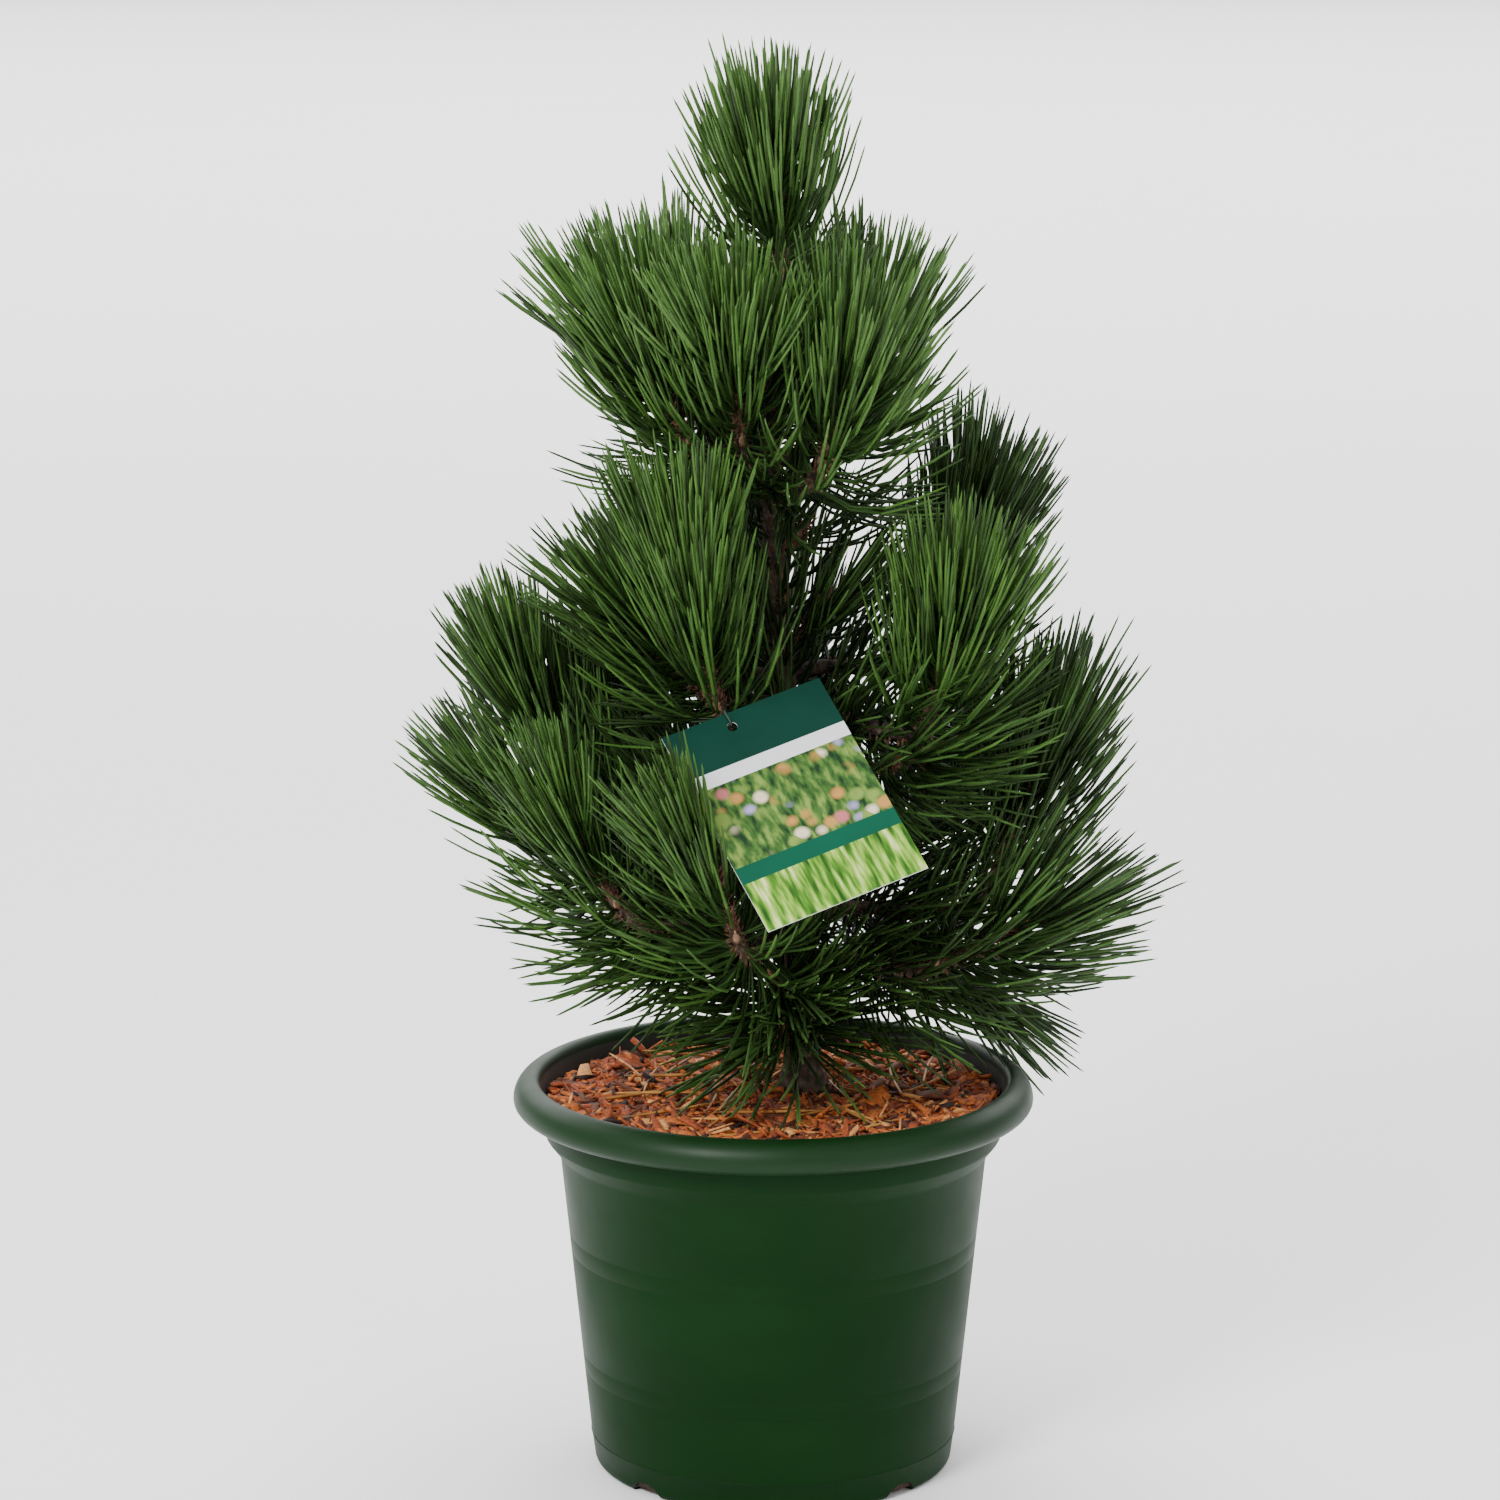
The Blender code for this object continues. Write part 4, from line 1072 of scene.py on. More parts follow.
# %% Finish the scales
SCALE_TONES = {
    "scale_red_brown": (0.16, 0.052, 0.022),
    "scale_brown": (0.085, 0.042, 0.022),
    "scale_tan": (0.25, 0.14, 0.075),
}
SCALE_SHARES = (0.45, 0.4, 0.15)


def scale_finish(name, colour):
    finish = Finish(name, colour, 0.75)
    finish.colour(finish.ramp(finish.noise(700), ((0.35, tint(colour, 0.55)), (0.6, colour))))
    return finish.material


scale_materials = [scale_finish(name, colour) for name, colour in SCALE_TONES.items()]
scale_tones = dice.choice(len(scale_materials), len(scale_places), p=SCALE_SHARES)
scales = join_copies(
    "bark_scales", scale_model.data, scale_turns, scale_places, scale_tones, scale_materials
)
bpy.data.objects.remove(scale_model, do_unlink=True)
hand_over(scales, "bark")

# %% [markdown]
# Buds. Each shoot ends in one, and a few pale ones sit on the trunk and beside the
# boughs' ends. A bud is an egg, drawn out to a point and wrapped in tiny scales, so
# it is modelled from a sphere whose top is pulled up, with the scale-like rings made
# by scaling every other ring in a little.

# %% Model one bud
BUD_SIDES = 12
BUD_RINGS = 12
BUD_POINT = 0.3
BUD_TAPER = 0.3
BUD_SMALL_RING = 0.86
deselect_all()
bpy.ops.mesh.primitive_uv_sphere_add(
    segments=BUD_SIDES, ring_count=BUD_RINGS, radius=0.5, location=(0, 0, 0.5)
)
bud_model = take_new("bud_model")
bpy.ops.object.mode_set(mode="EDIT")
shape = bmesh.from_edit_mesh(bud_model.data)
for vert in shape.verts:
    vert.select_set(vert.co.z > 0.98)
bmesh.update_edit_mesh(bud_model.data)
bpy.ops.transform.translate(value=(0, 0, BUD_POINT))
bpy.ops.object.mode_set(mode="OBJECT")
for vert in bud_model.data.vertices:
    ring = round(math.acos(max(min(1 - 2 * vert.co.z, 1), -1)) / math.pi * BUD_RINGS)
    width = (BUD_SMALL_RING if ring % 2 else 1.0) * (1 - BUD_TAPER * vert.co.z)
    vert.co.x *= width
    vert.co.y *= width

# %% Set the buds
BUD_WIDTH = 6 * MM
BUD_LENGTH = 10 * MM
TRUNK_BUDS = ((426, -70), (409, -95), (452, -50), (505, -130), (560, -60))
TRUNK_BUD_LEAN = 32
BESIDE_BOUGH = 4.5 * MM
SIDE_BUD_SIZE = 0.7
BUD_OVERLAP = 2 * MM
BUD_SIZES = (0.75, 1.1)
bud_sites = []
for shoot in SHOOTS:
    foot, tip = stem_line(shoot)
    way = (tip - foot).normalized()
    bud_sites.append((tip - way * BUD_OVERLAP, way, 1))
    if shoot.out:
        way = direction(shoot.lean * 0.5, shoot.heading)
        side, _ = across(way)
        for sign in (1, -1):
            place = bough_line(shoot)[-2] + side * BESIDE_BOUGH * sign
            bud_sites.append((place, (way + side * 0.5 * sign).normalized(), SIDE_BUD_SIZE))
for height, bearing in TRUNK_BUDS:
    middle, trunk_radius = trunk_at(height * MM)
    place = middle + direction(90, bearing) * trunk_radius
    bud_sites.append((place, direction(TRUNK_BUD_LEAN, bearing), SIDE_BUD_SIZE))
bud_turns = []
for _, way, bud_size in bud_sites:
    side, other = across(way)
    turn = Matrix((side * BUD_WIDTH, other * BUD_WIDTH, way * BUD_LENGTH)).transposed()
    bud_turns.append(np.array(turn) * bud_size * dice.uniform(*BUD_SIZES))
bud_finish = Finish("bud_tan", (0.3, 0.16, 0.08), 0.6)
bud_noise = bud_finish.noise(420)
bud_finish.colour(bud_finish.ramp(bud_noise, ((0.35, (0.15, 0.06, 0.027)), (0.65, (0.38, 0.23, 0.13)))))
bud_finish.bump(bud_noise, 0.3 * MM)
bud_points = np.array([tuple(place) for place, _, _ in bud_sites])
bud_tones = np.zeros(len(bud_points), int)
bud_turns = np.array(bud_turns)
buds = join_copies("buds", bud_model.data, bud_turns, bud_points, bud_tones, [bud_finish.material])
bpy.data.objects.remove(bud_model, do_unlink=True)
work_on(buds)
bpy.ops.object.shade_smooth()
hand_over(buds, "bark")

# %% [markdown]
# A bosnian pine's needle is stiff, as long as a finger and barely two millimetres
# wide, round outside and flat towards its partner. It is modelled once, upright:
# a small ring is extruded and resized from the sheath to the belly and on to the
# point. The copies are bent one by one afterwards.

# %% Model one needle
NEEDLE_SIDES = 4
NEEDLE_RINGS = ((0, 0.75), (0.08, 0.8), (0.3, 1.0), (0.55, 1.0), (0.8, 0.92), (0.955, 0.62))
deselect_all()
bpy.ops.mesh.primitive_circle_add(vertices=NEEDLE_SIDES, radius=NEEDLE_RINGS[0][1], fill_type="NGON")
needle_model = take_new("needle_model")
bpy.ops.object.mode_set(mode="EDIT")
bpy.ops.mesh.select_all(action="SELECT")
for (z0, r0), (z1, r1) in zip(NEEDLE_RINGS, NEEDLE_RINGS[1:]):
    bpy.ops.mesh.extrude_region_move(TRANSFORM_OT_translate={"value": (0, 0, z1 - z0)})
    bpy.ops.transform.resize(value=(r1 / r0, r1 / r0, 1))
bpy.ops.mesh.extrude_region_move(TRANSFORM_OT_translate={"value": (0, 0, 1 - NEEDLE_RINGS[-1][0])})
bpy.ops.mesh.merge(type="CENTER")
bpy.ops.mesh.select_all(action="SELECT")
bpy.ops.mesh.normals_make_consistent(inside=False)
bpy.ops.object.mode_set(mode="OBJECT")
needle_points, needle_faces = mesh_arrays(needle_model.data)
needle_face_heights = np.array([np.mean([needle_points[c][2] for c in face]) for face in needle_faces])
print("one needle has", len(needle_faces), "faces")
bpy.data.objects.remove(needle_model, do_unlink=True)

# %% [markdown]
# Needle greens. Each tone is a plain colour dealt out by shoot, and it holds painted
# light: the top tufts are the palest, the sunny tone paints light on the front tufts,
# and the shade tone paints shade on inner tufts and those to the right and back, over
# the darker green of old needles. Within a needle its sheath, body and tip each take
# their own, and the lighter tip is painted light as well.

# %% Needle finishes
# The sunny green holds painted light, the shade green painted shade, and each tip colour painted light.
NEEDLE_TONES = {
    "sunny": ((0.028, 0.07, 0.012), (0.056, 0.128, 0.022)),
    "high": ((0.033, 0.076, 0.016), (0.072, 0.15, 0.035)),
    "plain": ((0.021, 0.053, 0.01), (0.043, 0.096, 0.021)),
    "shade": ((0.011, 0.025, 0.005), (0.019, 0.042, 0.009)),
    "dry": ((0.34, 0.15, 0.035), (0.46, 0.22, 0.06)),
}
SHEATH_COLOUR = (0.16, 0.1, 0.06)


def needle_finish(name, colour):
    finish = Finish(name, colour, 0.42)
    patches = finish.noise(70, detail=2)
    finish.colour(finish.ramp(patches, ((0.3, tint(colour, 0.72)), (0.7, tint(colour, 1.28)))))
    finish.shine(0.16)
    return finish.material


needle_materials = [needle_finish("needle_sheath", SHEATH_COLOUR)]
tone_slot = {}
for tone, (body, tip) in NEEDLE_TONES.items():
    tone_slot[tone] = len(needle_materials)
    needle_materials.append(needle_finish("needle_" + tone, body))
    needle_materials.append(needle_finish("needle_tip_" + tone, tip))

# %% [markdown]
# Where the needles stand. A carrier is any stretch of stem, twig, bough or trunk
# that bears them. Pairs go round it by the golden turn, spread wide at its foot and
# close at its tip. A needle leaves its carrier at a wide angle and bends up and in
# as it grows, so that a shoot's needles end as a brush, and not as a ball.

# %% Carriers
NEEDLE_LENGTH = 78 * MM
NEEDLE_RADIUS = 0.82 * MM
FIRST_NEEDLE_PLACE = 0.06
TIP_SPREAD = 4
SPREAD_POWER = 0.4
NEEDLE_LIFT = 0.2
LIFT_LOSS = 0.6
PAIRS_PER_MM = 2.1
TWIG_PAIRS_PER_MM = 0.9
TWIG_SPREAD_SHARE = 0.5
OLD_PAIRS_PER_MM = 1.0
OLD_SPREAD = (60, 46)
OLD_RISE = 0.6
BOUGH_END_PAIRS_PER_MM = 1.4
BOUGH_END_SPREAD = (58, 44)
OLD_WOOD_FROM = 3
BOUGH_END_FROM = 9
TRUNK_PAIRS_PER_MM = 0.7
TRUNK_SPREAD = (44, 32)
TRUNK_CARRIERS = (330, 380, 425, 470, 515, 560, 600)
TRUNK_FOOT_PAIRS_PER_MM = 1.4
TRUNK_FOOT_SPREAD = (84, 70)
TRUNK_FOOT_CARRIERS = (222, 240, 262)
TRUNK_FOOT_RISE = -1.1
# Tufts whose needles stand less close than those of the others.
THINNER = {
    "low_right": 0.65, "low_right_back": 0.65, "low_right_high": 0.8, "foot_right_back": 0.7,
    "middle_right_low": 0.7, "low_left_front": 0.85, "left_high": 0.85, "low_left": 0.85,
}
ANY_SPACE = -1
Carrier = namedtuple("Carrier", "foot tip pairs base_spread tip_spread rise tone owner")


def pairs_on(start, end, density):
    return max(round((end - start).length / MM * density), 1)


def carriers_of(number, shoot):
    """The young wood of a shoot, and the older wood of the bough that bears it."""
    foot, tip = stem_line(shoot)
    fullness = THINNER.get(shoot.name, 1)
    pairs = pairs_on(foot, tip, PAIRS_PER_MM * fullness)
    found = [Carrier(foot, tip, pairs, shoot.spread, TIP_SPREAD, shoot.rise, shoot.tone, number)]
    for start, end in twig_lines(shoot):
        pairs = pairs_on(start, end, TWIG_PAIRS_PER_MM * fullness)
        opening = shoot.spread * TWIG_SPREAD_SHARE
        found.append(Carrier(start, end, pairs, opening, TIP_SPREAD, shoot.rise, shoot.tone, number))
    if shoot.out:
        line = bough_line(shoot)
        for start, end in zip(line[OLD_WOOD_FROM:BOUGH_END_FROM], line[OLD_WOOD_FROM + 1:]):
            pairs = pairs_on(start, end, OLD_PAIRS_PER_MM)
            # Old needles on the bough take the shade green: their own darker age, with painted shade over
            # it.
            found.append(Carrier(start, end, pairs, *OLD_SPREAD, OLD_RISE, "shade", ANY_SPACE))
        for start, end in zip(line[BOUGH_END_FROM:], line[BOUGH_END_FROM + 1:]):
            pairs = pairs_on(start, end, BOUGH_END_PAIRS_PER_MM * fullness)
            found.append(Carrier(start, end, pairs, *BOUGH_END_SPREAD, shoot.rise, shoot.tone, number))
    return found


def carriers_on_trunk():
    """Old needles that still stand on the trunk between the whorls."""
    found = []
    for low, high in zip(TRUNK_CARRIERS, TRUNK_CARRIERS[1:]):
        start, _ = trunk_at(low * MM)
        end, _ = trunk_at(high * MM)
        pairs = pairs_on(start, end, TRUNK_PAIRS_PER_MM)
        # Old needles on the trunk take the shade green: their own darker age, with painted shade over it.
        found.append(Carrier(start, end, pairs, *TRUNK_SPREAD, OLD_RISE, "shade", ANY_SPACE))
    for low, high in zip(TRUNK_FOOT_CARRIERS, TRUNK_FOOT_CARRIERS[1:]):
        start, _ = trunk_at(low * MM)
        end, _ = trunk_at(high * MM)
        pairs = pairs_on(start, end, TRUNK_FOOT_PAIRS_PER_MM)
        found.append(Carrier(start, end, pairs, *TRUNK_FOOT_SPREAD, TRUNK_FOOT_RISE, "plain", ANY_SPACE))
    return found


# %% Grow the pairs on a carrier
BEND_FIRST = 0.7
BEND_FOOT = 0.7
BEND_LAST = 0.35
WIDEST_OPENING = math.radians(92)
BEND_UP = 0.25
BEND_SCATTER = (0.7, 1.3)
SPREAD_SCATTER = 5
TURN_SCATTER = 0.12
WAY_SCATTER = 0.07
LENGTH_SCATTER = (0.88, 1.03)
TWIN_SCATTER = (0.95, 1.0)
PAIR_OPENING = 0.06
OPEN_AT_SHEATH = 0.5
OPEN_AT_POINT = 1.5


def grow_pairs(carrier, seed):
    """Roots, first and last directions, outward ways and lengths of a carrier's needles."""
    dice = np.random.default_rng(seed)
    foot, tip = np.array(carrier.foot), np.array(carrier.tip)
    way = (carrier.tip - carrier.foot).normalized()
    side, other = (np.array(v) for v in across(way))
    way = np.array(way)
    number = np.arange(carrier.pairs)
    share = (number + 0.5) / carrier.pairs
    opening = carrier.tip_spread + (carrier.base_spread - carrier.tip_spread) * (1 - share) ** SPREAD_POWER
    opening = np.radians(opening + dice.normal(0, SPREAD_SCATTER, carrier.pairs))
    turn = number * GOLDEN_TURN + dice.normal(0, TURN_SCATTER, carrier.pairs)
    out = np.cos(turn)[:, None] * side + np.sin(turn)[:, None] * other
    bend = dice.uniform(*BEND_SCATTER, carrier.pairs)[:, None]
    lift = (NEEDLE_LIFT * carrier.rise * (1 - share * LIFT_LOSS))[:, None]
    bend_up = BEND_UP * carrier.rise
    scatter = dice.normal(0, WAY_SCATTER, out.shape)
    upright = np.array((0, 0, 1.0))

    def opened(factor):
        angle = np.minimum(opening[:, None] * factor, WIDEST_OPENING)
        return np.cos(angle) * way + np.sin(angle) * out

    bend_at_foot = (1 + BEND_FOOT * (1 - share) ** 3)[:, None]
    first = opened(1 + BEND_FIRST * bend * bend_at_foot) + upright * (lift - bend_up) + scatter
    last = opened(1 - BEND_LAST * bend) + upright * (lift + bend_up) + scatter
    roots = foot + (FIRST_NEEDLE_PLACE + (1 - FIRST_NEEDLE_PLACE) * share)[:, None] * (tip - foot)
    between = np.cross(first, dice.normal(0, 1, first.shape))
    between /= np.linalg.norm(between, axis=1)[:, None]
    lengths = NEEDLE_LENGTH * dice.uniform(*LENGTH_SCATTER, carrier.pairs)
    twins = []
    for sign in (1, -1):
        open_by = between * (sign * PAIR_OPENING)
        one = first + open_by * OPEN_AT_SHEATH
        two = last + open_by * OPEN_AT_POINT
        length = lengths * dice.uniform(*TWIN_SCATTER, carrier.pairs)
        length /= np.linalg.norm((one + two * 2) / 3, axis=1)
        twins.append((roots, one, two, between * sign, length))
    return [np.concatenate(parts) for parts in zip(*twins)]


# %% [markdown]
# A needle is left out where it would leave its shoot's own space, go through the
# card or the pot, or pierce a limb. All needles are tested at once with arrays.

# %% Tests for a needle's place
CARD_SIZE = (87 * MM, 118 * MM)
CARD_CENTRE = Vector((9.5, -105, 370)) * MM
CARD_ACROSS = Vector((0.893, 0.35, 0.285))
CARD_UP = Vector((-0.444, 0.573, 0.689))
SPACE_SHARE = 1.45
LIP_WIDTH = 2 * MM


def points_along(roots, first, last, lengths, share):
    """Where each needle is at a share of its length: it bends most near its sheath."""
    bent = last * share + (first - last) * ((1 - (1 - share) ** 3) / 3)
    return roots + bent * lengths[:, None]


def segment_gaps(point, starts, ends):
    """Distances from many points to many segments, as a table."""
    many = ends - starts
    offset = point[:, None, :] - starts[None, :, :]
    share = np.clip(np.einsum("nsj,sj->ns", offset, many) / np.einsum("sj,sj->s", many, many), 0, 1)
    apart = offset - share[:, :, None] * many[None, :, :]
    return np.linalg.norm(apart, axis=2)


CARD_ROOM = 1.6 * MM
CARD_SHADOW = 70 * MM
POT_ROOM = 1.2 * MM


def beside_card(point):
    """True for points that neither touch the plant card nor hang in front of it."""
    offset = point - np.array(CARD_CENTRE)
    across_card = CARD_ACROSS.normalized()
    face = across_card.cross(CARD_UP).normalized()
    up_card = face.cross(across_card)
    wide = np.abs(offset @ np.array(across_card)) > CARD_SIZE[0] / 2 + CARD_ROOM
    tall = np.abs(offset @ np.array(up_card)) > CARD_SIZE[1] / 2 + CARD_ROOM
    depth = offset @ np.array(face)
    return wide | tall | (depth < -CARD_ROOM) | (depth > CARD_SHADOW)


def clear_of_pot(point):
    radius = np.hypot(point[:, 0], point[:, 1])
    in_mouth = radius < MOUTH_RADIUS - LIP_WIDTH - POT_ROOM
    over_mulch = in_mouth & (point[:, 2] > mulch_height(radius) + POT_ROOM)
    past_rim = (radius > RIM_RADIUS + POT_ROOM) | (point[:, 2] > POT_HEIGHT + POT_ROOM)
    return over_mulch | past_rim


# %% Grow all the needles
stem_ends = [stem_line(shoot) for shoot in SHOOTS]
stem_starts = np.array([tuple(foot) for foot, _ in stem_ends])
stem_tips = np.array([tuple(tip) for _, tip in stem_ends])
limb_segments = []
for low, high in zip(trunk_points[::4], trunk_points[4::4]):
    limb_segments.append((low, high, trunk_at(low.z)[1]))
for shoot in SHOOTS:
    if shoot.out:
        line = bough_line(shoot)
        limb_segments += [(a, b, BOUGH_TIP_RADIUS) for a, b in zip(line[:-1:2], line[2::2])]
    foot, tip = stem_line(shoot)
    limb_segments.append((foot, tip, BUD_RADIUS))
limb_starts = np.array([tuple(s[0]) for s in limb_segments])
limb_ends = np.array([tuple(s[1]) for s in limb_segments])
limb_radii = np.array([s[2] for s in limb_segments])


CLEAR_AT = (0.25, 0.4, 0.55, 0.7, 0.85, 1.0)
OWN_SPACE_AT = (0.5, 1.0)
SEEDS_PER_SHOOT = 1000


def allowed(grown, owner):
    """True for each needle that touches nothing and stays in its shoot's own space."""
    roots, first, last, _, lengths = grown
    good = np.ones(len(roots), bool)
    for share in CLEAR_AT:
        point = points_along(roots, first, last, lengths, share)
        good &= beside_card(point) & clear_of_pot(point)
        good &= np.all(segment_gaps(point, limb_starts, limb_ends) > limb_radii, axis=1)
    if owner == ANY_SPACE:
        return good
    for share in OWN_SPACE_AT:
        point = points_along(roots, first, last, lengths, share)
        gaps = segment_gaps(point, stem_starts, stem_tips)
        good &= gaps[:, owner] < gaps.min(axis=1) * SPACE_SHARE
    return good


def grow_all(carriers, seed):
    """All the needles of some carriers that have room, with the tone of each."""
    parts = []
    tones = []
    for index, carrier in enumerate(carriers):
        grown = grow_pairs(carrier, seed + index)
        good = allowed(grown, carrier.owner)
        parts.append([values[good] for values in grown])
        tones += [carrier.tone] * int(good.sum())
    return [np.concatenate(values) for values in zip(*parts)], tones


grown_by_shoot = [grow_all(carriers_of(n, shoot), SEEDS_PER_SHOOT * n) for n, shoot in enumerate(SHOOTS)]
grown_on_trunk = grow_all(carriers_on_trunk(), SEEDS_PER_SHOOT * len(SHOOTS))
print(sum(len(tones) for _, tones in grown_by_shoot), "needles stand on the shoots")
print(len(grown_on_trunk[1]), "stand on the trunk")

# %% Make the pieces of needles
SHEATH_TO = 0.09
TIP_FROM = 0.6
TONE_MIX = {
    "high": ("high", "high", "high", "sunny", "plain", "shade"),
    "sunny": ("sunny", "sunny", "sunny", "plain", "plain", "shade"),
    "plain": ("plain", "plain", "plain", "sunny", "shade", "shade"),
    "shade": ("shade", "shade", "shade", "shade", "plain", "plain"),
    "dry": ("dry",),
}


def needle_mesh_arrays(grown, tones, dice):
    """Points, corners, face starts and tones of all a shoot's needles."""
    roots, first, last, between, lengths = grown
    count = len(roots)
    share = needle_points[:, 2]
    bent = last[:, None, :] * share[None, :, None]
    bent = bent + (first - last)[:, None, :] * ((1 - (1 - share) ** 3) / 3)[None, :, None]
    middle = roots[:, None, :] + bent * lengths[:, None, None]
    tangent = last[:, None, :] + (first - last)[:, None, :] * ((1 - share) ** 2)[None, :, None]
    tangent /= np.linalg.norm(tangent, axis=2)[:, :, None]
    side = np.cross(tangent, between[:, None, :])
    side /= np.linalg.norm(side, axis=2)[:, :, None]
    other = np.cross(tangent, side)
    section = needle_points[None, :, :] * NEEDLE_RADIUS
    points = middle + side * section[:, :, 0:1] + other * section[:, :, 1:2]
    flat = np.array([corner for face in needle_faces for corner in face])
    corners = (flat[None, :] + (np.arange(count) * len(needle_points))[:, None]).ravel()
    sizes = np.tile([len(face) for face in needle_faces], count)
    bases = np.array([tone_slot[dice.choice(TONE_MIX[tone])] for tone in tones])[:, None]
    # The outer part of each needle takes its tone's lighter tip colour, which is painted light.
    face_tones = bases + (needle_face_heights > TIP_FROM)[None, :]
    face_tones = np.where((needle_face_heights < SHEATH_TO)[None, :], 0, face_tones)
    return points.reshape(-1, 3), corners, sizes, face_tones.ravel()


def needle_piece(name, sprays, nodes):
    dice = random.Random(name)
    all_points, all_corners, all_sizes, all_tones = [], [], [], []
    offset = 0
    for grown, tones in sprays:
        points, corners, sizes, face_tones = needle_mesh_arrays(grown, tones, dice)
        all_points.append(points)
        all_corners.append(corners + offset)
        all_sizes.append(sizes)
        all_tones.append(face_tones)
        offset += len(points)
    sizes = np.concatenate(all_sizes)
    starts = np.concatenate(([0], np.cumsum(sizes)[:-1]))
    mesh = mesh_from_arrays(
        name, np.concatenate(all_points), np.concatenate(all_corners), starts,
        np.concatenate(all_tones), needle_materials,
    )
    piece = bpy.data.objects.new(name, mesh)
    bpy.context.scene.collection.objects.link(piece)
    work_on(piece)
    bpy.ops.object.shade_smooth()
    hand_over(piece, "needles", *nodes)
    print(name, "has", int((sizes - 2).sum()), "triangles")


SHOOTS_PER_PIECE = 6
for group, first in enumerate(range(0, len(SHOOTS), SHOOTS_PER_PIECE)):
    numbers = range(first, min(first + SHOOTS_PER_PIECE, len(SHOOTS)))
    sprays = [grown_by_shoot[number] for number in numbers]
    nodes = ["needles_" + SHOOTS[number].name for number in numbers]
    needle_piece(f"needle_sprays_{group + 1}", sprays, nodes)
needle_piece("old_trunk_needles", [grown_on_trunk], [])

# %% Needles that have dropped on the mulch
FALLEN_COUNT = 34
FALLEN_REACH = 96 * MM
FALLEN_HEIGHT = 3.0 * MM
FALLEN_NEAREST = 0.02
FALLEN_LENGTHS = (0.45, 0.8)
FALLEN_BEND = 0.15
FALLEN_FROM_EDGE = 4 * MM
dice = np.random.default_rng(23)
bearing = dice.uniform(0, 2 * np.pi, FALLEN_COUNT)
radius = FALLEN_REACH * np.sqrt(dice.uniform(FALLEN_NEAREST, 1, FALLEN_COUNT))
heading = dice.uniform(0, 2 * np.pi, FALLEN_COUNT)
fallen_length = NEEDLE_LENGTH * dice.uniform(*FALLEN_LENGTHS, FALLEN_COUNT)
height = mulch_height(radius) + FALLEN_HEIGHT
middles = np.stack([radius * np.cos(bearing), radius * np.sin(bearing), height], axis=1)
flat_way = np.stack([np.cos(heading), np.sin(heading), np.zeros(FALLEN_COUNT)], axis=1)
aside = np.stack([-np.sin(heading), np.cos(heading), np.zeros(FALLEN_COUNT)], axis=1)
bent_way = flat_way + aside * FALLEN_BEND
upwards = np.tile((0.0, 0.0, 1.0), (FALLEN_COUNT, 1))
roots = middles - flat_way * fallen_length[:, None] / 2
ends = roots + bent_way * fallen_length[:, None]
farthest = np.maximum(np.hypot(*roots.T[:2]), np.hypot(*ends.T[:2]))
inside = farthest < bed_edge - FALLEN_FROM_EDGE
fallen = [values[inside] for values in (roots, flat_way, bent_way, upwards, fallen_length)]
needle_piece("fallen_needles", [(fallen, ["dry"] * int(inside.sum()))], [])

# %% [markdown]
# The plant card is a stiff printed plastic sheet with a hole, tied to a bough. It is
# a thin plate, a hair thinner than its solid, and cut into bands: a dark header, a
# white stripe, a picture panel, a green band and a bright foot.

# %% Card
CARD_THICKNESS = 0.72 * MM
CARD_HOLE_RADIUS = 2.6 * MM
CARD_HOLE_DROP = 8 * MM
CARD_HOLE_ASIDE = -8.5 * MM
PUNCH_LENGTH = 5 * MM
CARD_BANDS = (0.23, 0.30, 0.685, 0.765)


def card_matrix():
    across_card = CARD_ACROSS.normalized()
    face = across_card.cross(CARD_UP).normalized()
    up_card = face.cross(across_card)
    turn = Matrix((across_card, up_card, face)).transposed().to_4x4()
    return Matrix.Translation(CARD_CENTRE) @ turn


deselect_all()
bpy.ops.mesh.primitive_cube_add(size=1)
card = bpy.context.object
card.scale = (*CARD_SIZE, CARD_THICKNESS)
card = take_new("printed_card")
deselect_all()
hole_middle = (CARD_HOLE_ASIDE, CARD_SIZE[1] / 2 - CARD_HOLE_DROP, 0)
bpy.ops.mesh.primitive_cylinder_add(
    vertices=32, radius=CARD_HOLE_RADIUS, depth=PUNCH_LENGTH, location=hole_middle
)
punch = take_new("hole_punch")
work_on(card)
bpy.ops.object.mode_set(mode="EDIT")
for share in CARD_BANDS:
    bpy.ops.mesh.select_all(action="SELECT")
    bpy.ops.mesh.bisect(plane_co=(0, CARD_SIZE[1] * (0.5 - share), 0), plane_no=(0, 1, 0))
bpy.ops.object.mode_set(mode="OBJECT")
hole = card.modifiers.new("Hole", "BOOLEAN")
hole.object = punch
hole.operation = "DIFFERENCE"
apply_modifiers(card)
bpy.data.objects.remove(punch, do_unlink=True)

# %% [markdown]
# The print. Its patterns must lie in the card's own frame, or bands and streaks would
# run askew, so a Mapping node turns the coordinates first. The picture is a made-up
# one: a meadow of streaky greens with soft round blots in ochre, cream and lilac, about
# as large and as bright as garden pictures on such cards are. The foot has streaks
# like grass blades.

# %% Print on the card
def print_finish(name, colour):
    finish = Finish(name, colour, 0.3)
    finish.shine(0.2)
    finish.turn_to(card_matrix())
    return finish


def plain_print(name, dark, light):
    finish = print_finish(name, dark)
    finish.colour(finish.ramp(finish.noise(25), ((0.35, dark), (0.65, light))))
    return finish.material


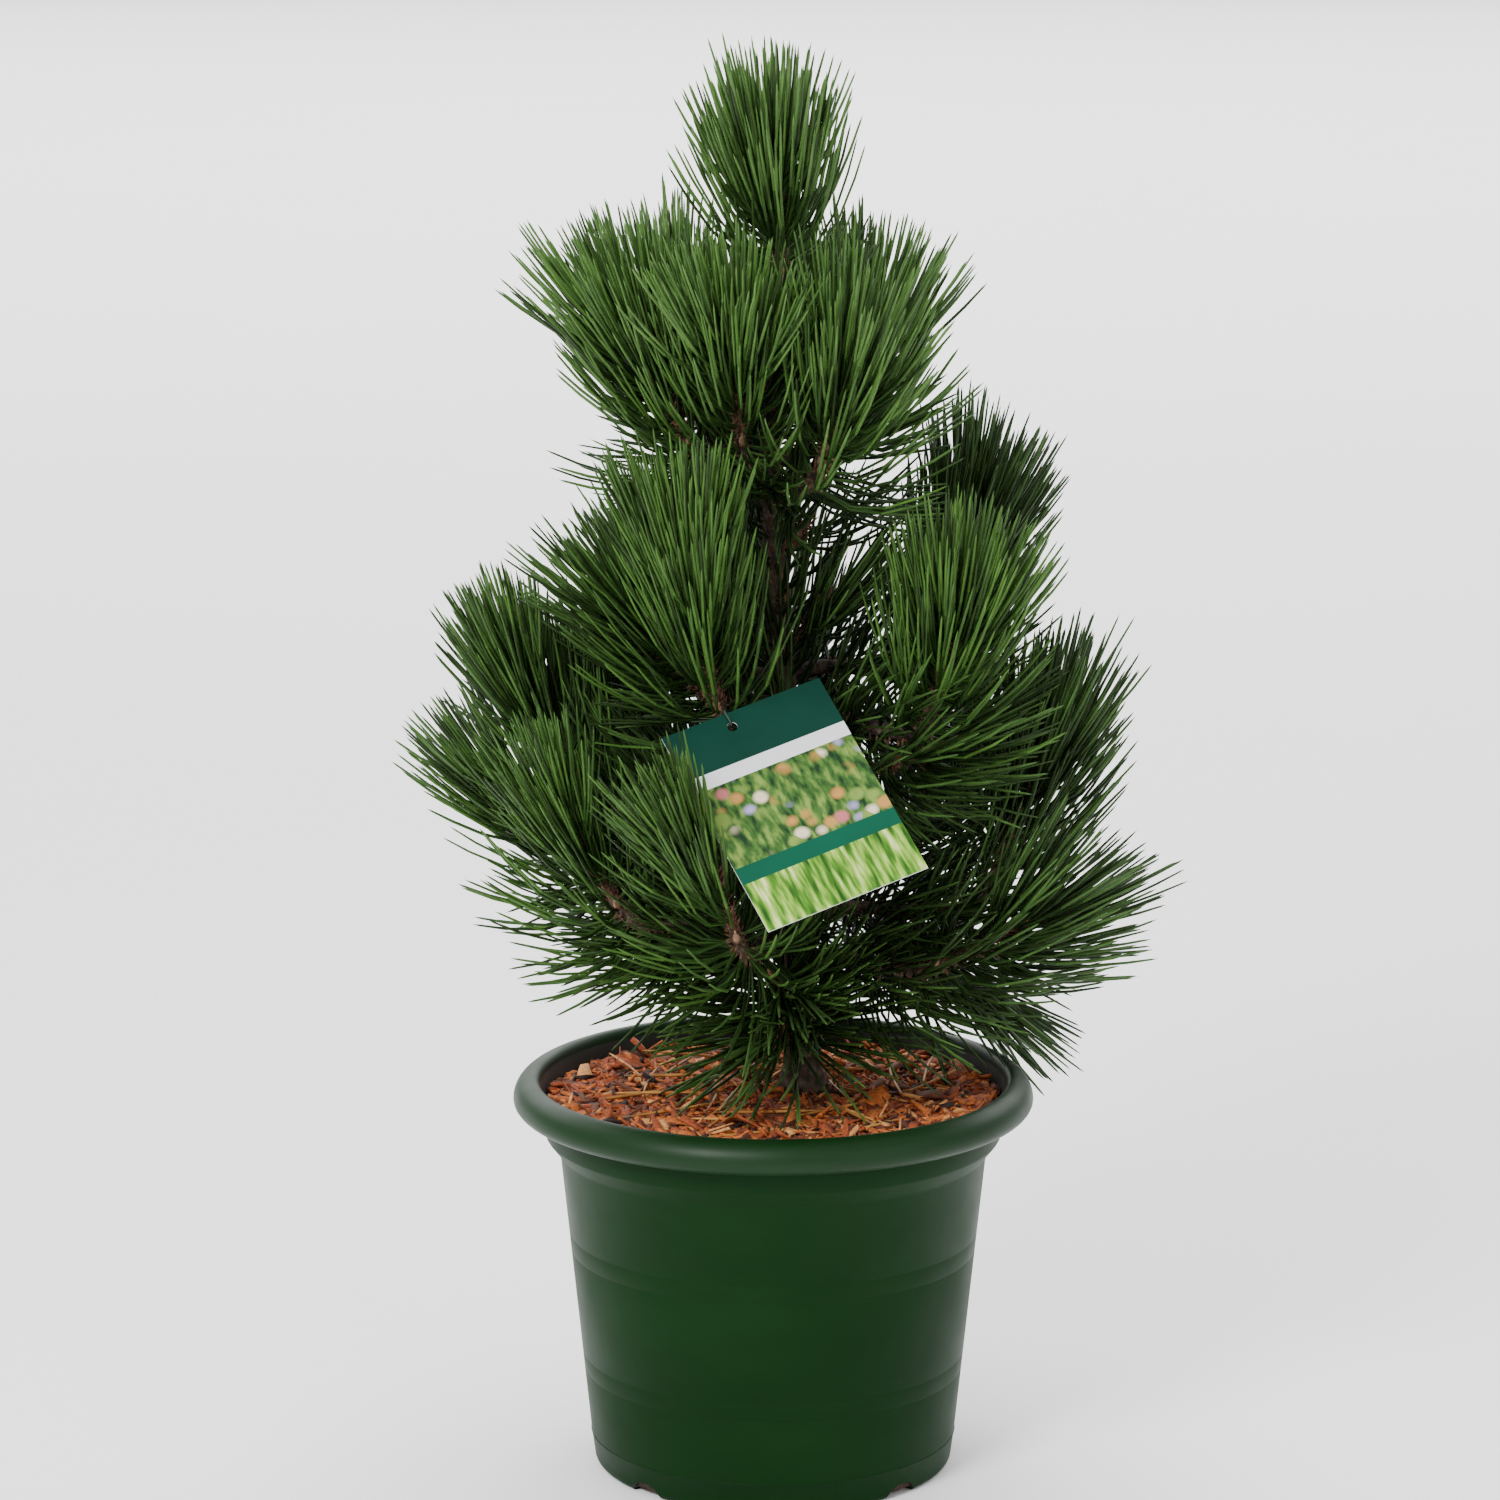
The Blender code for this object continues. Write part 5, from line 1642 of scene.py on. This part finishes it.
def picture_print(name):
    finish = print_finish(name, (0.1, 0.2, 0.05))
    dark_leaf, leaf, bright_leaf = (0.01, 0.035, 0.012), (0.05, 0.13, 0.025), (0.2, 0.31, 0.06)
    ochre, cream, lilac, rose = (0.5, 0.26, 0.07), (0.78, 0.68, 0.46), (0.4, 0.36, 0.6), (0.5, 0.16, 0.16)
    meadow = finish.ramp(finish.noise(240, detail=4, stretch=(1, 0.4, 1)),
                         ((0.36, dark_leaf), (0.5, leaf), (0.66, bright_leaf)))
    number, distance = finish.spots(105, (1, 1.15, 1))
    petals = ((0, bright_leaf), (0.22, ochre), (0.42, cream), (0.6, lilac), (0.78, rose), (0.88, leaf))
    blossom = finish.ramp(number, petals, hard=True)
    outside = finish.ramp(distance, ((0.3, (0, 0, 0)), (0.52, (1, 1, 1))))
    flowers = finish.mix(outside, blossom, meadow)
    where = finish.ramp(finish.noise(34, detail=1), ((0.44, (0, 0, 0)), (0.56, (1, 1, 1))))
    finish.colour(finish.mix(where, meadow, flowers))
    return finish.material


def grass_print(name):
    finish = print_finish(name, (0.2, 0.4, 0.06))
    blades = finish.noise(260, detail=3, stretch=(1, 0.15, 1))
    stops = ((0.34, (0.014, 0.06, 0.008)), (0.46, (0.07, 0.21, 0.016)), (0.57, (0.28, 0.48, 0.06)),
             (0.7, (0.7, 0.76, 0.34)))
    finish.colour(finish.ramp(blades, stops))
    return finish.material


CARD_INKS = (
    plain_print("header_ink", (0.0, 0.03, 0.019), (0.001, 0.04, 0.025)),
    plain_print("stripe_ink", (0.72, 0.73, 0.74), (0.8, 0.8, 0.82)),
    picture_print("picture_ink"),
    plain_print("band_ink", (0.0, 0.07, 0.036), (0.001, 0.085, 0.045)),
    grass_print("foot_ink"),
    plain_print("card_back", (0.7, 0.72, 0.68), (0.76, 0.78, 0.74)),
)
for ink in CARD_INKS:
    card.data.materials.append(ink)
back_slot = len(CARD_INKS) - 1
for face in card.data.polygons:
    share = 0.5 - face.center.y / CARD_SIZE[1]
    band = sum(share > edge for edge in CARD_BANDS)
    face.material_index = band if face.normal.z > 0.5 else back_slot
card.data.transform(card_matrix())
hand_over(card, "card", "plant_card")

# %% Tie of the card
tie_finish = Finish("tie_plastic", (0.006, 0.03, 0.02), 0.4)
tie_finish.bump(tie_finish.noise(900), 0.05 * MM, 0.4)
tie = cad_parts["card_tie"]
tie.data.materials.clear()
tie.data.materials.append(tie_finish.material)

# %% [markdown]
# The floor is plain and pale. It gets its finish last, with a trace of unevenness.

# %% Floor finish
FLOOR_WHITE = (0.93, 0.93, 0.93)
FLOOR_SHADE = (0.91, 0.91, 0.91)
floor_finish = Finish("studio_floor", FLOOR_WHITE, 0.8)
floor_finish.colour(floor_finish.ramp(floor_finish.noise(2), ((0.2, FLOOR_SHADE), (0.8, FLOOR_WHITE))))
floor.data.materials.append(floor_finish.material)

# %% Sizes, and the end
deselect_all()
low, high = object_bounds()
print("visual box", [round(v, 4) for v in low], [round(v, 4) for v in high])
